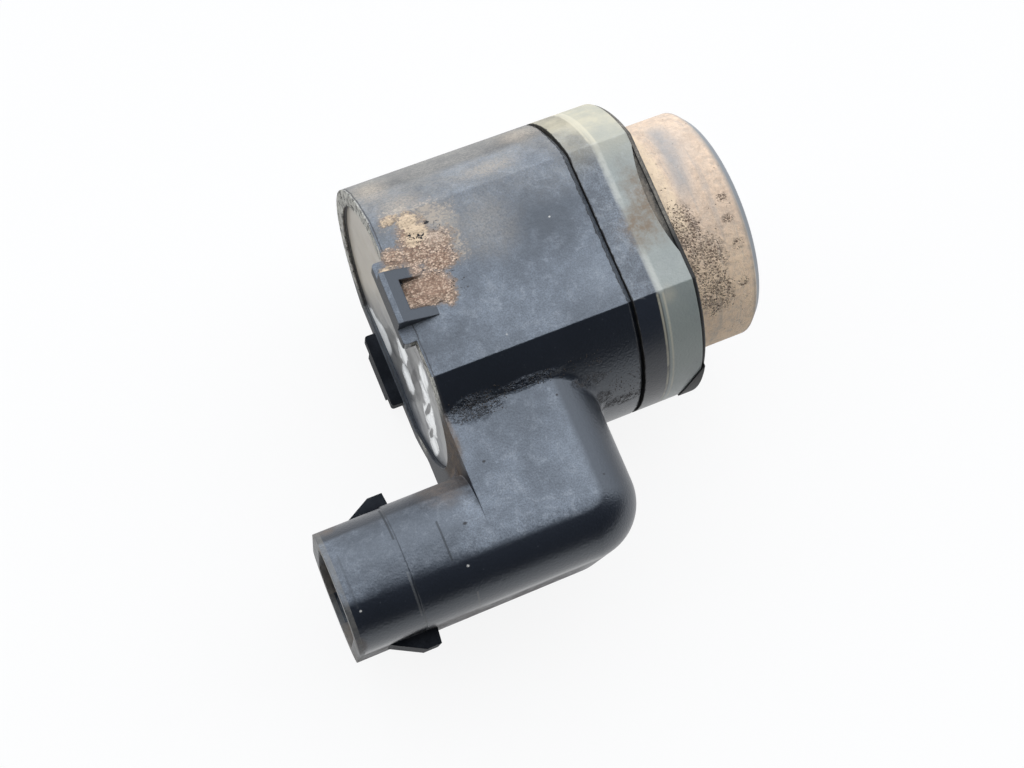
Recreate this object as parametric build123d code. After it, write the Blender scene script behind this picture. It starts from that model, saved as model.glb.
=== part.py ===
from build123d import *
import math
import os

# Parking sensor with an elbow connector.
# The origin is on the sensor axis at the middle of the membrane's face. +X points out of the
# membrane, +Z is up, and the connector arm reaches out along -Y with its mouth facing -X.
# All sizes are in millimetres.

# Stations along the sensor axis
cup_reach = 6.6
collar_length = 4.75
groove_width = 0.35
body_length = 15.2

# Body section: a circle with a flat above and below
body_radius = 12.0
flat_cut = 1.6
body_wall = 1.3
body_edge = 0.25

# Front end of the housing
spigot_length = 2.4
spigot_inset = 0.5
spigot_wall = 1.1
bulkhead_thickness = 1.5
bulkhead_lip = 2.3
carrier_depth = 0.9

# Elbow arm and connector barrel
arm_depth = 11.6
socket_offset = 16.98
barrel_width = 9.35
barrel_drop = 1.9
barrel_end_flat = 0.85
barrel_length = 11.4
barrel_wall = 1.2
barrel_step = 0.08
step_setback = 5.1
socket_depth = 10.8
arm_wall = 1.35
arm_back_wall = 1.6
arm_root = 0.9
arm_fillet = 0.8

# Latch wedges at the rear edge of both flats
tab_width = 6.3
tab_reach = 0.95
latch_width = 3.9
latch_height = 1.5
latch_run = 3.2
latch_bar = 1.25
latch_arm = 0.8

# Lugs that hold the mating plug
lug_width = 4.4
lug_height = 1.3
lug_setback = 2.35
lug_ramp = 2.4
lug_top = 1.15
lug_back = 0.2

# Front collar, silicone ring and membrane cup
weld_gap = 0.05
seat_gap = 0.05
collar_flat_wall = 0.7
sleeve_thickness = 0.3
flange_thickness = 0.4
flange_inset = 0.15
flange_edge = 0.15
lip_thickness = 0.6
scoop_width = 10.0
scoop_depth = 0.6
scoop_length = 1.1
notch_width = 8.8
notch_depth = 0.62
notch_shift = 0.6
tongue_sink = 0.35
cup_edge = 0.6
cup_wall = 1.3
cup_root_cut = 0.2
cup_root_gap = 0.1
membrane_thickness = 0.7
cup_flat_cut = 2.4
cup_oval_depth = 4.0
keeper_width = 7.6
keeper_length = 1.05
keeper_height = 0.12

# Transducer inside the cup
piezo_margin = 1.4
piezo_thickness = 0.45
damping_side_gap = 0.6
damping_thickness = 1.4
nose_side_gap = 1.8
nose_length = 0.8
contact_spacing = 4.8
contact_size = 0.5
contact_stub = 0.3
contact_setback = 1.2
lead_size = 0.25
lead_bend = 0.6
ground_setback = 0.8

# Circuit board and its guides
board_thickness = 1.6
board_offset = 4.0
board_front_gap = 0.3
board_setback = 2.2
board_side_gap = 0.4
guide_height = 1.0
guide_thickness = 0.8
hole_gap = 0.1
pin_through = 0.7

# Parts on the board, each given as its length along X, its width along Z and its height
chip_size = (5.0, 5.0, 1.5)
chip_lead_reach = 0.5
chip_lead_width = 0.35
chip_lead_count = 5
capacitor_size = (7.3, 3.2, 2.8)
diode_size = (4.2, 2.6, 2.1)
diode_setback = 1.0
small_chip_size = (0.8, 1.6, 0.7)
small_chip_pitch = 1.2
strip_margin = 2.3
core_base = 5.2
core_base_height = 0.8
core_post_radius = 1.3
core_post_height = 3.0
core_flange_radius = 2.6
winding_radius = 2.3

# Connector terminals
pin_size = 0.64
pin_margin = 3.72
pin_recess = 5.0
pin_taper = 0.16
pin_bend = 1.0
pin_column = 3.6

# Potting compound
potting_recess = 0.45
meniscus_depth = 0.45

# Places and sizes worked out from those above
body_flat = body_radius - flat_cut
front_bore = body_flat - spigot_inset - spigot_wall
bulkhead_bore = front_bore - bulkhead_lip
barrel_height = 2 * (body_flat - barrel_drop)
barrel_corner = (barrel_width - barrel_end_flat) / 2
pin_pitch = barrel_height / 2 - barrel_wall - barrel_step - pin_margin
cup_radius = body_flat - collar_flat_wall - sleeve_thickness - 2 * seat_gap
cup_root = cup_radius - cup_root_cut
cup_bore = cup_radius - cup_wall
cup_flat = cup_bore - cup_flat_cut
damping_radius = cup_flat - damping_side_gap
piezo_radius = damping_radius - piezo_margin
nose_radius = cup_bore - nose_side_gap
scoop_radius = (scoop_width ** 2 / 4 + scoop_depth ** 2) / (2 * scoop_depth)
notch_radius = (notch_width ** 2 / 4 + notch_depth ** 2) / (2 * notch_depth)
collar_front = -cup_reach
collar_rear = collar_front - collar_length
shoulder = collar_rear - groove_width
rear_rim = shoulder - body_length
spigot_end = shoulder + spigot_length
bulkhead_front = shoulder - carrier_depth
bulkhead_rear = bulkhead_front - bulkhead_thickness
arm_front = rear_rim + arm_depth
arm_reach = socket_offset + barrel_width / 2
mouth = rear_rim - barrel_length
socket_floor = mouth + socket_depth
sleeve_radius = cup_radius + seat_gap + sleeve_thickness
lip_front = spigot_end + weld_gap + lip_thickness
cup_rear = lip_front + seat_gap
membrane_inner = -membrane_thickness
oval_rear = membrane_inner - cup_oval_depth
piezo_rear = membrane_inner - piezo_thickness
damping_rear = piezo_rear - seat_gap - damping_thickness
nose_front = cup_rear + nose_length
board_rear = rear_rim + board_setback
board_front = bulkhead_rear - board_front_gap
board_far = -board_offset - board_thickness / 2
board_near = -board_offset + board_thickness / 2
board_middle = (board_rear + board_front) / 2
column_x = rear_rim + pin_column
contact_x = board_front - contact_setback
strip_place = body_flat - body_wall - board_side_gap - strip_margin


def flatted(radius, flat, start, end):
    """A prism along X whose section is a circle with a flat above and below."""
    section = Circle(radius) & Rectangle(2 * radius, 2 * flat)
    return Pos(start, 0, 0) * extrude(Plane.YZ * section, amount=end - start)


def rod(radius, start, end):
    """A round bar along X, centred on the sensor axis."""
    return Pos(start, 0, 0) * extrude(Plane.YZ * Circle(radius), amount=end - start)


def span(low, high):
    """A box between two opposite corners."""
    size = [b - a for a, b in zip(low, high)]
    middle = [(a + b) / 2 for a, b in zip(low, high)]
    return Pos(*middle) * Box(*size)


def both_flats(top):
    """A piece on the upper flat, with its mirror image on the lower one."""
    return top + mirror(top, about=Plane.XY)


def housing_outside():
    """The black moulding before its hollows are cut: body, spigot, arm, barrel, latches and lugs."""
    body = flatted(body_radius, body_flat, rear_rim, shoulder)
    long_edges = body.edges().filter_by(Axis.X)
    body = fillet(long_edges, body_edge)
    spigot = flatted(body_radius - spigot_inset, body_flat - spigot_inset, shoulder - 1, spigot_end)
    half = barrel_height / 2
    arm = span((rear_rim, -arm_reach, -half), (arm_front, -body_radius / 2, half))
    outer_corner = arm.edges().filter_by(Axis.Z).group_by(Axis.X)[-1].sort_by(Axis.Y)[0]
    front_edges = arm.edges().filter_by(Axis.Y).group_by(Axis.X)[-1]
    side_edges = arm.edges().filter_by(Axis.X).group_by(Axis.Y)[0]
    arm = fillet([outer_corner, *front_edges, *side_edges], barrel_corner)
    solid = body + arm
    solid = fillet(solid.edges().filter_by(meets_arm), arm_fillet)
    solid = solid + spigot + barrel_outside() + root_cove()
    return solid + both_flats(latch()) + barrel_lugs()


def meets_arm(edge):
    """Whether an edge lies where the arm runs into the round of the body."""
    middle = edge.position_at(0.5)
    on_round = abs(math.hypot(middle.Y, middle.Z) - body_radius) < seat_gap
    beside_arm = middle.Y < 0 and abs(middle.Z) < barrel_height / 2 + seat_gap
    return on_round and beside_arm and rear_rim + seat_gap < middle.X < arm_front + seat_gap


def barrel_section(inset):
    """The barrel's rounded section, drawn in from its outside by an inset."""
    return Plane.YZ * Pos(-socket_offset, 0) * RectangleRounded(
        barrel_width - 2 * inset, barrel_height - 2 * inset, barrel_corner - inset)


def barrel_outside():
    """The connector barrel, a shade slimmer from the mouth to the lugs."""
    step = rear_rim - barrel_length + step_setback
    slim = Pos(mouth, 0, 0) * extrude(barrel_section(barrel_step), amount=step - mouth)
    full = Pos(step, 0, 0) * extrude(barrel_section(0), amount=rear_rim + 1 - step)
    return slim + full


def root_cove():
    """The hollow fillet between the barrel and the arm's rear face, on the side of the body."""
    side = -socket_offset + barrel_width / 2
    straight = barrel_height / 2 - barrel_corner
    block = span((rear_rim - arm_root, side - 0.2, -straight), (rear_rim, side + arm_root, straight))
    hollow = Pos(rear_rim - arm_root, side + arm_root, 0) * Cylinder(arm_root, 3 * barrel_height)
    cove = block - hollow
    return cove


def latch():
    """One latch: a tab behind the rim that carries a ramp with a pocket open to the front."""
    tab = span((rear_rim - tab_reach, -tab_width / 2, body_flat - body_wall),
               (rear_rim + 0.5, tab_width / 2, body_flat))
    tab = fillet(tab.edges().filter_by(Axis.Z).group_by(Axis.X)[0], body_edge)
    rear = rear_rim - tab_reach
    ramp = Plane.XZ * make_face(Polyline(
        (rear, body_flat - 0.2), (rear, body_flat + latch_height),
        (rear + 0.4, body_flat + latch_height), (rear + latch_run, body_flat),
        (rear + latch_run, body_flat - 0.2), close=True))
    wedge = Pos(0, latch_width / 2, 0) * extrude(ramp, amount=latch_width)
    pocket = latch_width / 2 - latch_arm
    wedge -= span((rear + latch_bar, -pocket, body_flat),
                  (rear + latch_run + 1, pocket, body_flat + 2 * latch_height))
    return tab + wedge


def barrel_lugs():
    """The two lugs on the barrel that the mating plug snaps over."""
    side = barrel_width / 2 - barrel_step
    start = mouth + lug_setback
    outline = Polyline(
        (start, side - 0.5), (start, side), (start + lug_ramp, side + lug_height),
        (start + lug_ramp + lug_top, side + lug_height),
        (start + lug_ramp + lug_top + lug_back, side - 0.5), close=True)
    lug = Pos(0, 0, -lug_width / 2) * extrude(make_face(outline), amount=lug_width)
    pair = lug + mirror(lug, about=Plane.XZ)
    return Pos(0, -socket_offset, 0) * pair


def chamber(gap):
    """The hollow that the board lies in, with the arm's core, drawn in by a gap on every side."""
    main = flatted(body_radius - body_wall - gap, body_flat - body_wall - gap,
                   rear_rim - 0.5, bulkhead_rear - gap)
    half = barrel_height / 2 - arm_wall - gap
    core = span((rear_rim + arm_back_wall + gap, -arm_reach + arm_wall + gap, -half),
                (arm_front - arm_wall - gap, -body_radius / 2, half))
    edges = core.edges().filter_by(Axis.X).group_by(Axis.Y)[0]
    core = fillet(edges, barrel_corner - arm_wall - gap)
    return main + core


def housing():
    """The housing with its chamber, front bore, connector socket, board guides and pin holes."""
    solid = housing_outside() - chamber(0)
    solid -= rod(bulkhead_bore, bulkhead_rear - 1, shoulder)
    solid -= rod(front_bore, bulkhead_front, spigot_end + 1)
    socket = extrude(barrel_section(barrel_wall + barrel_step), amount=socket_depth + 1)
    solid -= Pos(mouth - 1, 0, 0) * socket
    solid += board_guides()
    for place in pin_places():
        hole = pin_size / 2 + weld_gap
        solid -= span((socket_floor - 1, -socket_offset - hole, place - hole),
                      (rear_rim + arm_back_wall + 0.5, -socket_offset + hole, place + hole))
    return solid


def board_guides(gap=0.0):
    """Two pairs of rails on the flats' inner faces that hold the board's long edges."""
    inner = body_flat - body_wall
    sides = (board_far - seat_gap - guide_thickness, board_near + seat_gap)
    rails = [span((board_rear + 1 - gap, side - gap, inner - guide_height - gap),
                  (bulkhead_rear + 0.2, side + guide_thickness + gap, inner + 0.2))
             for side in sides]
    return both_flats(rails[0] + rails[1])


def pin_places():
    """Heights of the terminals, from the lowest up."""
    return [pin_pitch * row for row in (-1, 0, 1)]


def front_collar():
    """The translucent collar: counterbored over the spigot, bored for the silicone sleeve."""
    solid = flatted(body_radius, body_flat, collar_rear, collar_front)
    solid = fillet(solid.edges().filter_by(Axis.X), body_edge)
    inset = spigot_inset - weld_gap
    solid -= flatted(body_radius - inset, body_flat - inset, collar_rear - 1, spigot_end + weld_gap)
    solid -= rod(sleeve_radius + seat_gap, spigot_end - 1, collar_front + 1)
    return solid - both_flats(scoop()) - both_flats(notch(0, body_radius))


def scoop():
    """A tilted round bar that takes a shallow dip out of the front edge of one flat."""
    tilt = math.degrees(math.atan2(scoop_depth, scoop_length))
    bar = Rot(0, 90 + tilt, 0) * Cylinder(scoop_radius, 6 * scoop_length)
    lift = scoop_radius / math.cos(math.radians(tilt))
    return Pos(collar_front, 0, body_flat - scoop_depth + lift) * bar


def notch(gap, top):
    """An upright round bar that takes a shallow arc out of the front edge of the upper flat."""
    bottom = body_flat / 2
    centre = collar_front - notch_depth + notch_radius
    bar = Cylinder(notch_radius - gap, top - bottom)
    bar = Pos(centre, notch_shift, (top + bottom) / 2) * bar
    return bar & span((collar_front - 2 * notch_depth, -body_radius, bottom),
                      (collar_front + 2 * weld_gap, body_radius, top))


def decoupling_ring():
    """The silicone ring: sleeve, lip, flange in front, tongues in the notches and the keeper."""
    sleeve = rod(sleeve_radius, spigot_end + weld_gap, collar_front + flange_thickness)
    flange = flatted(body_radius - flange_inset, body_flat - flange_inset,
                     collar_front + weld_gap, collar_front + flange_thickness)
    flange = chamfer(flange.faces().sort_by(Axis.X)[-1].edges(), flange_edge)
    tongues = both_flats(notch(weld_gap, body_flat - tongue_sink))
    solid = sleeve + flange + tongues + keeper()
    solid -= rod(cup_radius + seat_gap, lip_front, 0)
    return solid - rod(cup_bore, spigot_end - 1, lip_front + 1)


def keeper():
    """The flange's round lobe that laps back over the collar's edge on the arm's side."""
    rear = collar_front - keeper_length
    front = collar_front + flange_thickness - flange_edge
    band = rod(body_radius + keeper_height, rear, front)
    band -= rod(body_radius + weld_gap, rear - 1, collar_front + weld_gap)
    band -= rod(body_radius - 1, collar_front, front + 1)
    radius = (keeper_width ** 2 / 4 + keeper_length ** 2) / (2 * keeper_length)
    bar = Rot(90, 0, 0) * Cylinder(radius, body_radius)
    return band & Pos(rear + radius, -body_radius, 0) * bar


def cup_hollow(gap, rear, front):
    """The hollow of the membrane cup: round near its rim, flattened near the membrane."""
    wide = rod(cup_bore - gap, rear, min(oval_rear, front) - gap)
    oval = flatted(cup_bore - gap, cup_flat - gap, rear, front - gap)
    return wide + oval


def membrane_cup():
    """The aluminium cup: its closed end is the membrane, its root is necked for the ring."""
    front = rod(cup_radius, collar_front + flange_thickness + cup_root_gap, 0)
    front = chamfer(front.edges().sort_by(Axis.X)[-1], cup_edge)
    root = rod(cup_root, cup_rear, -cup_edge)
    return front + root - cup_hollow(0, cup_rear - 1, membrane_inner)


def piezo_disc():
    """The piezo disc, bonded to the inside of the membrane."""
    return rod(piezo_radius, piezo_rear, membrane_inner)


def damping_disc():
    """The damping disc behind the piezo, with a hole for the live lead."""
    solid = rod(damping_radius, damping_rear, piezo_rear - seat_gap)
    return solid - lead_live(seat_gap)


def cup_fill():
    """The soft silicone that fills the cup between the carrier's nose and the damping disc."""
    solid = cup_hollow(seat_gap, nose_front + seat_gap, damping_rear)
    for piece in (lead_live(seat_gap), lead_ground(seat_gap)):
        solid -= piece
    for side in (-1, 1):
        solid -= contact_pin(side, seat_gap)
    return solid


def contact_carrier():
    """The plastic plug behind the cup, with a nose in the cup's rim and two pin holes."""
    plate = rod(front_bore - seat_gap, bulkhead_front, spigot_end - seat_gap)
    nose = rod(nose_radius, bulkhead_front, nose_front)
    solid = plate + nose
    for side in (-1, 1):
        solid -= contact_pin(side, seat_gap)
    return solid


def bent_bar(size, points, radius):
    """A square bar bent along a path in one plane."""
    path = FilletPolyline(*points, radius=radius)
    start = Plane(origin=points[0], x_dir=(0, 0, 1),
                  z_dir=[b - a for a, b in zip(points[0], points[1])])
    return sweep(start * Rectangle(size, size), path=path)


def contact_pin(side, gap=0.0):
    """A bent pin that carries the signal from the cup's lead to the board."""
    height = side * contact_spacing / 2
    front = nose_front + contact_stub + gap
    end = board_far - pin_through - gap
    points = [(front, 0, height), (contact_x, 0, height), (contact_x, end, height)]
    return bent_bar(contact_size + 2 * gap, points, contact_size)


def lead_live(gap=0.0):
    """The foil lead from the live pin to the back of the piezo."""
    half = lead_size / 2 + gap
    height = contact_spacing / 2
    return span((nose_front + contact_stub, -half, height - half),
                (piezo_rear, half, height + half))


def lead_ground(gap=0.0):
    """The foil lead from the ground pin, bent outwards to the cup's wall."""
    height = -contact_spacing / 2
    start = nose_front + contact_stub
    corner = damping_rear - ground_setback
    wall = cup_flat if corner > oval_rear else cup_bore
    points = [(start, 0, height), (corner, 0, height), (corner, 0, -wall)]
    return bent_bar(lead_size + 2 * gap, points, lead_bend)


def on_board(x, z, size, near=True, gap=0.0):
    """A block that stands on one side of the board, grown by a gap on its free sides."""
    length, width, height = size
    foot = board_near if near else board_far
    tip = foot + height + gap if near else foot - height - gap
    return span((x - length / 2 - gap, min(foot, tip), z - width / 2 - gap),
                (x + length / 2 + gap, max(foot, tip), z + width / 2 + gap))


def circuit_board(gap=0.0):
    """The circuit board, drilled for the terminals and the two contact pins."""
    half = body_flat - body_wall - board_side_gap
    solid = span((board_rear - gap, board_far - gap, -half - gap),
                 (board_front + gap, board_near + gap, half + gap))
    if gap:
        return solid
    for place in pin_places():
        solid -= drill(column_x, place, pin_size)
    for side in (-1, 1):
        solid -= drill(contact_x, side * contact_spacing / 2, contact_size)
    return solid


def drill(x, z, size):
    """A drill through the board that clears a square pin."""
    radius = size / math.sqrt(2) + hole_gap
    return Pos(x, -board_offset, z) * Rot(90, 0, 0) * Cylinder(radius, 2 * board_thickness)


def control_chip(gap=0.0):
    """The control chip on the board's arm side, with a row of leads on each of two edges."""
    x = (column_x + contact_x) / 2
    solid = on_board(x, 0, chip_size, near=False, gap=gap)
    length, width, height = chip_size
    if gap:
        reach = (length, width + 2 * chip_lead_reach, height / 2)
        return solid + on_board(x, 0, reach, near=False, gap=gap)
    pitch = length / chip_lead_count
    for number in range(chip_lead_count):
        place = x + pitch * (number - (chip_lead_count - 1) / 2)
        reach = (chip_lead_width, width + 2 * chip_lead_reach, height / 2)
        solid += on_board(place, 0, reach, near=False)
    return solid


def transformer_core():
    """The transformer's ferrite core: a square base, a post and a round top flange."""
    base = on_board(board_middle, 0, (core_base, core_base, core_base_height))
    return base + core_disc(core_post_radius, 0, core_post_height) + core_disc(
        core_flange_radius, core_post_height, core_post_height + core_base_height)


def core_disc(radius, low, high):
    """A round of the transformer, between two heights over its base."""
    foot = board_near + core_base_height
    middle = foot + (low + high) / 2
    return Pos(board_middle, middle, 0) * Rot(90, 0, 0) * Cylinder(radius, high - low)


def transformer_winding():
    """The copper winding round the core's post."""
    coil = core_disc(winding_radius, seat_gap, core_post_height - seat_gap)
    return coil - core_disc(core_post_radius + seat_gap, 0, core_post_height)


def transformer_pocket(gap):
    """The room that the transformer takes up in the potting."""
    base = on_board(board_middle, 0, (core_base, core_base, core_base_height), gap=gap)
    return base + core_disc(core_flange_radius + gap, 0, core_post_height + core_base_height + gap)


def storage_capacitor(gap=0.0):
    """The storage capacitor beside the transformer."""
    return on_board(board_middle, strip_place, capacitor_size, gap=gap)


def protection_diode(gap=0.0):
    """The protection diode near the terminals."""
    x = board_rear + diode_setback + diode_size[0] / 2
    return on_board(x, -strip_place, diode_size, gap=gap)


def small_chips(near, gap=0.0):
    """A row of small chips on one side of the board, in front of where the diode stands."""
    first = board_rear + 2 * diode_setback + diode_size[0]
    room = board_front - small_chip_size[0] - first
    count = int(room // small_chip_pitch) + 1
    return [on_board(first + (number + 0.5) * small_chip_pitch, -strip_place, small_chip_size,
                     near=near, gap=gap) for number in range(count)]


def terminal(place, gap=0.0):
    """A bent terminal from the socket, through the elbow, to the board."""
    points = [(mouth + pin_recess, -socket_offset, place), (column_x, -socket_offset, place),
              (column_x, board_near + pin_through + gap, place)]
    bar = bent_bar(pin_size + 2 * gap, points, pin_bend)
    if gap:
        return bar
    return chamfer(bar.faces().sort_by(Axis.X)[0].edges(), pin_taper)


def potting_compound():
    """The resin that fills the chamber behind a hollow meniscus, cast round all that it holds."""
    solid = chamber(seat_gap)
    reach = body_radius - body_wall
    radius = (reach ** 2 + meniscus_depth ** 2) / (2 * meniscus_depth)
    face = rear_rim + potting_recess + meniscus_depth
    solid -= Pos(face - radius, 0, 0) * Sphere(radius)
    solid -= board_guides(seat_gap)
    pockets = [circuit_board(seat_gap), control_chip(seat_gap), transformer_pocket(seat_gap),
               storage_capacitor(seat_gap), protection_diode(seat_gap)]
    pockets += small_chips(True, seat_gap) + small_chips(False, seat_gap)
    pockets += [terminal(place, seat_gap) for place in pin_places()]
    pockets += [contact_pin(side, seat_gap) for side in (-1, 1)]
    for pocket in pockets:
        solid -= pocket
    return solid


def group(solids):
    """Several separate solids as one piece."""
    return Compound(children=[Solid(piece.wrapped) for piece in solids])


def pieces():
    """Every node's name with its shape."""
    lower, middle, upper = pin_places()
    return {
        "housing": housing(),
        "front_collar": front_collar(),
        "decoupling_ring": decoupling_ring(),
        "membrane_cup": membrane_cup(),
        "piezo_disc": piezo_disc(),
        "damping_disc": damping_disc(),
        "cup_fill": cup_fill(),
        "contact_carrier": contact_carrier(),
        "contact_pin_live": contact_pin(1),
        "contact_pin_ground": contact_pin(-1),
        "lead_live": lead_live(),
        "lead_ground": lead_ground(),
        "circuit_board": circuit_board(),
        "control_chip": control_chip(),
        "transformer_core": transformer_core(),
        "transformer_winding": transformer_winding(),
        "storage_capacitor": storage_capacitor(),
        "protection_diode": protection_diode(),
        "chip_capacitors": group(small_chips(True)),
        "chip_resistors": group(small_chips(False)),
        "terminal_lower": terminal(lower),
        "terminal_middle": terminal(middle),
        "terminal_upper": terminal(upper),
        "potting_compound": potting_compound(),
    }


os.makedirs("parts", exist_ok=True)
for name, shape in pieces().items():
    export_step(shape, f"parts/{name}.step")
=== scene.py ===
"""Looks of the parking sensor: a used one, dusty, with soil in its latch pocket.

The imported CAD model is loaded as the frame. Every piece here is in metres in that frame: the
origin is on the sensor axis at the membrane's face, +X leaves the membrane, +Z is up. Places
and sizes are given in millimetres, noise scales per metre.
"""
import logging
import math
import random
from dataclasses import dataclass, field
from enum import Enum
from functools import cached_property, reduce
from typing import Iterable, Optional, Union

import bmesh
import bpy
from mathutils import Matrix, Vector, noise
from mathutils.bvhtree import BVHTree


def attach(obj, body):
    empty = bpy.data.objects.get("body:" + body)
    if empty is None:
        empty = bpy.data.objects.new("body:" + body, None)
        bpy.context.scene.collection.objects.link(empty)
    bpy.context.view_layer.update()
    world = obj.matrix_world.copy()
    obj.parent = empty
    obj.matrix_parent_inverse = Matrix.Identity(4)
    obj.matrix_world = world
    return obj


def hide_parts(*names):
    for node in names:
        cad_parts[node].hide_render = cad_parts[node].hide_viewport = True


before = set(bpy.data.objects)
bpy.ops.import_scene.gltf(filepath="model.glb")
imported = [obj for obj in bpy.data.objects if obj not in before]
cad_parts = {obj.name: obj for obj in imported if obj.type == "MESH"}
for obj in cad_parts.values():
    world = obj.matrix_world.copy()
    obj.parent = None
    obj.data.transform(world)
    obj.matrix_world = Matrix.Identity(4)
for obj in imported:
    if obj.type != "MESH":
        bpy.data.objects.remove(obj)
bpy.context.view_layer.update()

LOG = logging.getLogger("parking_sensor")
MM = 0.001

Colour = tuple[float, float, float]
Place = tuple[float, float, float]
Material = bpy.types.Material
Mesh = bmesh.types.BMesh
Outputs = bpy.types.bpy_prop_collection
Piece = bpy.types.Object
Socket = bpy.types.NodeSocket
Tree = bpy.types.NodeTree
Feed = Union[Socket, float, tuple[float, ...]]

FLAT_Z = 10.4        # the upper flat
REAR_X = -26.9       # the rear rim of the body
GROOVE_X = -11.35    # the collar's rear end
WELD_X = -9.2        # the weld between the collar and the spigot inside it
BARREL_Y = -16.98    # the axis of the connector barrel
EDGE_RADIUS = 0.12   # how round sharp edges look
WHITE = (1.0, 1.0, 1.0)


class Grain(Enum):
    """How a surface was made, as its noise scale per metre and its depth in metres."""

    MOULDED = (5200.0, 0.00002)
    CAST = (1500.0, 0.00002)
    PRESSED = (9000.0, 0.000006)
    FIRED = (3600.0, 0.000015)
    DRAWN = (2600.0, 0.00001)


def mm(*values: float) -> Vector:
    """A point or size given in millimetres."""
    return Vector([value * MM for value in values])


class Bench:
    """A node tree, with short calls that add nodes and join them."""

    where: Socket  # the coordinates that noise is laid on

    def __init__(self, tree: Tree) -> None:
        """Starts on a tree."""
        self.tree = tree

    def add(self, kind: str, feeds: Optional[dict[Union[str, int], Feed]] = None,
            **settings: object) -> bpy.types.Node:
        """Adds a node.

        Args:
            kind: the node's type name, without the ShaderNode in front.
            feeds: what each input gets, by name or number.
            settings: properties of the node itself.

        Returns:
            The new node.
        """
        node = self.tree.nodes.new("ShaderNode" + kind)
        for name, value in settings.items():
            setattr(node, name, value)
        for name, value in (feeds or {}).items():
            self.feed(node.inputs[name], value)
        return node

    def feed(self, socket: Socket, value: Feed) -> None:
        """Joins a socket to an input, or sets the input to a constant.

        Args:
            socket: the input.
            value: another node's output, a number or a colour.
        """
        if isinstance(value, Socket):
            self.tree.links.new(value, socket)
        elif isinstance(value, (tuple, Vector)) and len(value) == 3 and socket.type == "RGBA":
            socket.default_value = (*value, 1.0)
        else:
            socket.default_value = value

    def math(self, operation: str, first: Feed, second: Feed = 0.0, clamp: bool = False) -> Socket:
        """One sum of two values.

        Args:
            operation: the Math node's operation.
            first: the first value.
            second: the second value.
            clamp: whether the result is kept between 0 and 1.

        Returns:
            The result's socket.
        """
        node = self.add("Math", {0: first, 1: second}, operation=operation, use_clamp=clamp)
        return node.outputs[0]

    def vector(self, operation: str, *values: Feed) -> Union[Socket, Outputs]:
        """The outputs of one sum of vectors."""
        return self.add("VectorMath", dict(enumerate(values)), operation=operation).outputs

    def times(self, *values: Feed) -> Socket:
        """The values, such as masks, multiplied together."""
        return reduce(lambda first, second: self.math("MULTIPLY", first, second), values)

    def most(self, *values: Feed) -> Socket:
        """The greatest of the values, such as the strongest of some masks."""
        return reduce(lambda first, second: self.math("MAXIMUM", first, second), values)

    def but(self, mask: Feed) -> Socket:
        """What a mask leaves free."""
        return self.math("SUBTRACT", 1.0, mask, clamp=True)

    def mix(self, share: Feed, under: Feed, over: Feed, kind: str = "RGBA") -> Socket:
        """Mixes two colours, or two plain values such as roughnesses.

        Args:
            share: how much of the second one counts.
            under: the first colour or value.
            over: the second colour or value.
            kind: RGBA for colours or FLOAT for plain values.

        Returns:
            The result's socket.
        """
        first, result = {"RGBA": (6, 2), "FLOAT": (2, 0)}[kind]
        node = self.add("Mix", {0: share, first: under, first + 1: over}, data_type=kind)
        return node.outputs[result]

    def blend(self, share: Feed, under: Feed, over: Feed) -> Socket:
        """Mixes two plain values, as mix does with colours."""
        return self.mix(share, under, over, "FLOAT")

    def remap(self, value: Feed, low: Feed, high: Feed, start: float = 0.0,
              end: float = 1.0) -> Socket:
        """Spreads a range of values smoothly over another.

        Args:
            value: the value that is read.
            low: the value that becomes start.
            high: the value that becomes end.
            start: the result at low.
            end: the result at high.

        Returns:
            The result's socket.
        """
        node = self.add("MapRange", {0: value, 1: low, 2: high, 3: start, 4: end},
                        interpolation_type="SMOOTHSTEP")
        return node.outputs[0]

    def noise(self, scale: Feed, detail: float, rough: float,
              where: Optional[Socket] = None) -> Socket:
        """A noise value round 0.5.

        Args:
            scale: the noise's scale per metre.
            detail: how many finer layers it has.
            rough: how strong the finer layers are.
            where: other coordinates than the tree's own.

        Returns:
            The noise's socket.
        """
        return self.add("TexNoise", {"Vector": where or self.where, "Scale": scale,
                                     "Detail": detail, "Roughness": rough}).outputs["Fac"]

    def cloud(self, scale: float, detail: float, rough: float, low: float, high: float,
              start: float = 0.0, end: float = 1.0) -> Socket:
        """Noise, spread as remap does."""
        return self.remap(self.noise(scale, detail, rough), low, high, start, end)

    def cells(self, scale: Feed, where: Socket) -> Outputs:
        """The outputs of a pattern of irregular cells."""
        return self.add("TexVoronoi", {"Vector": where, "Scale": scale}).outputs

    def facing(self) -> Outputs:
        """The X, Y and Z shares of the way a face looks."""
        return self.add("SeparateXYZ", {0: self.add("NewGeometry").outputs["Normal"]}).outputs


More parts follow.
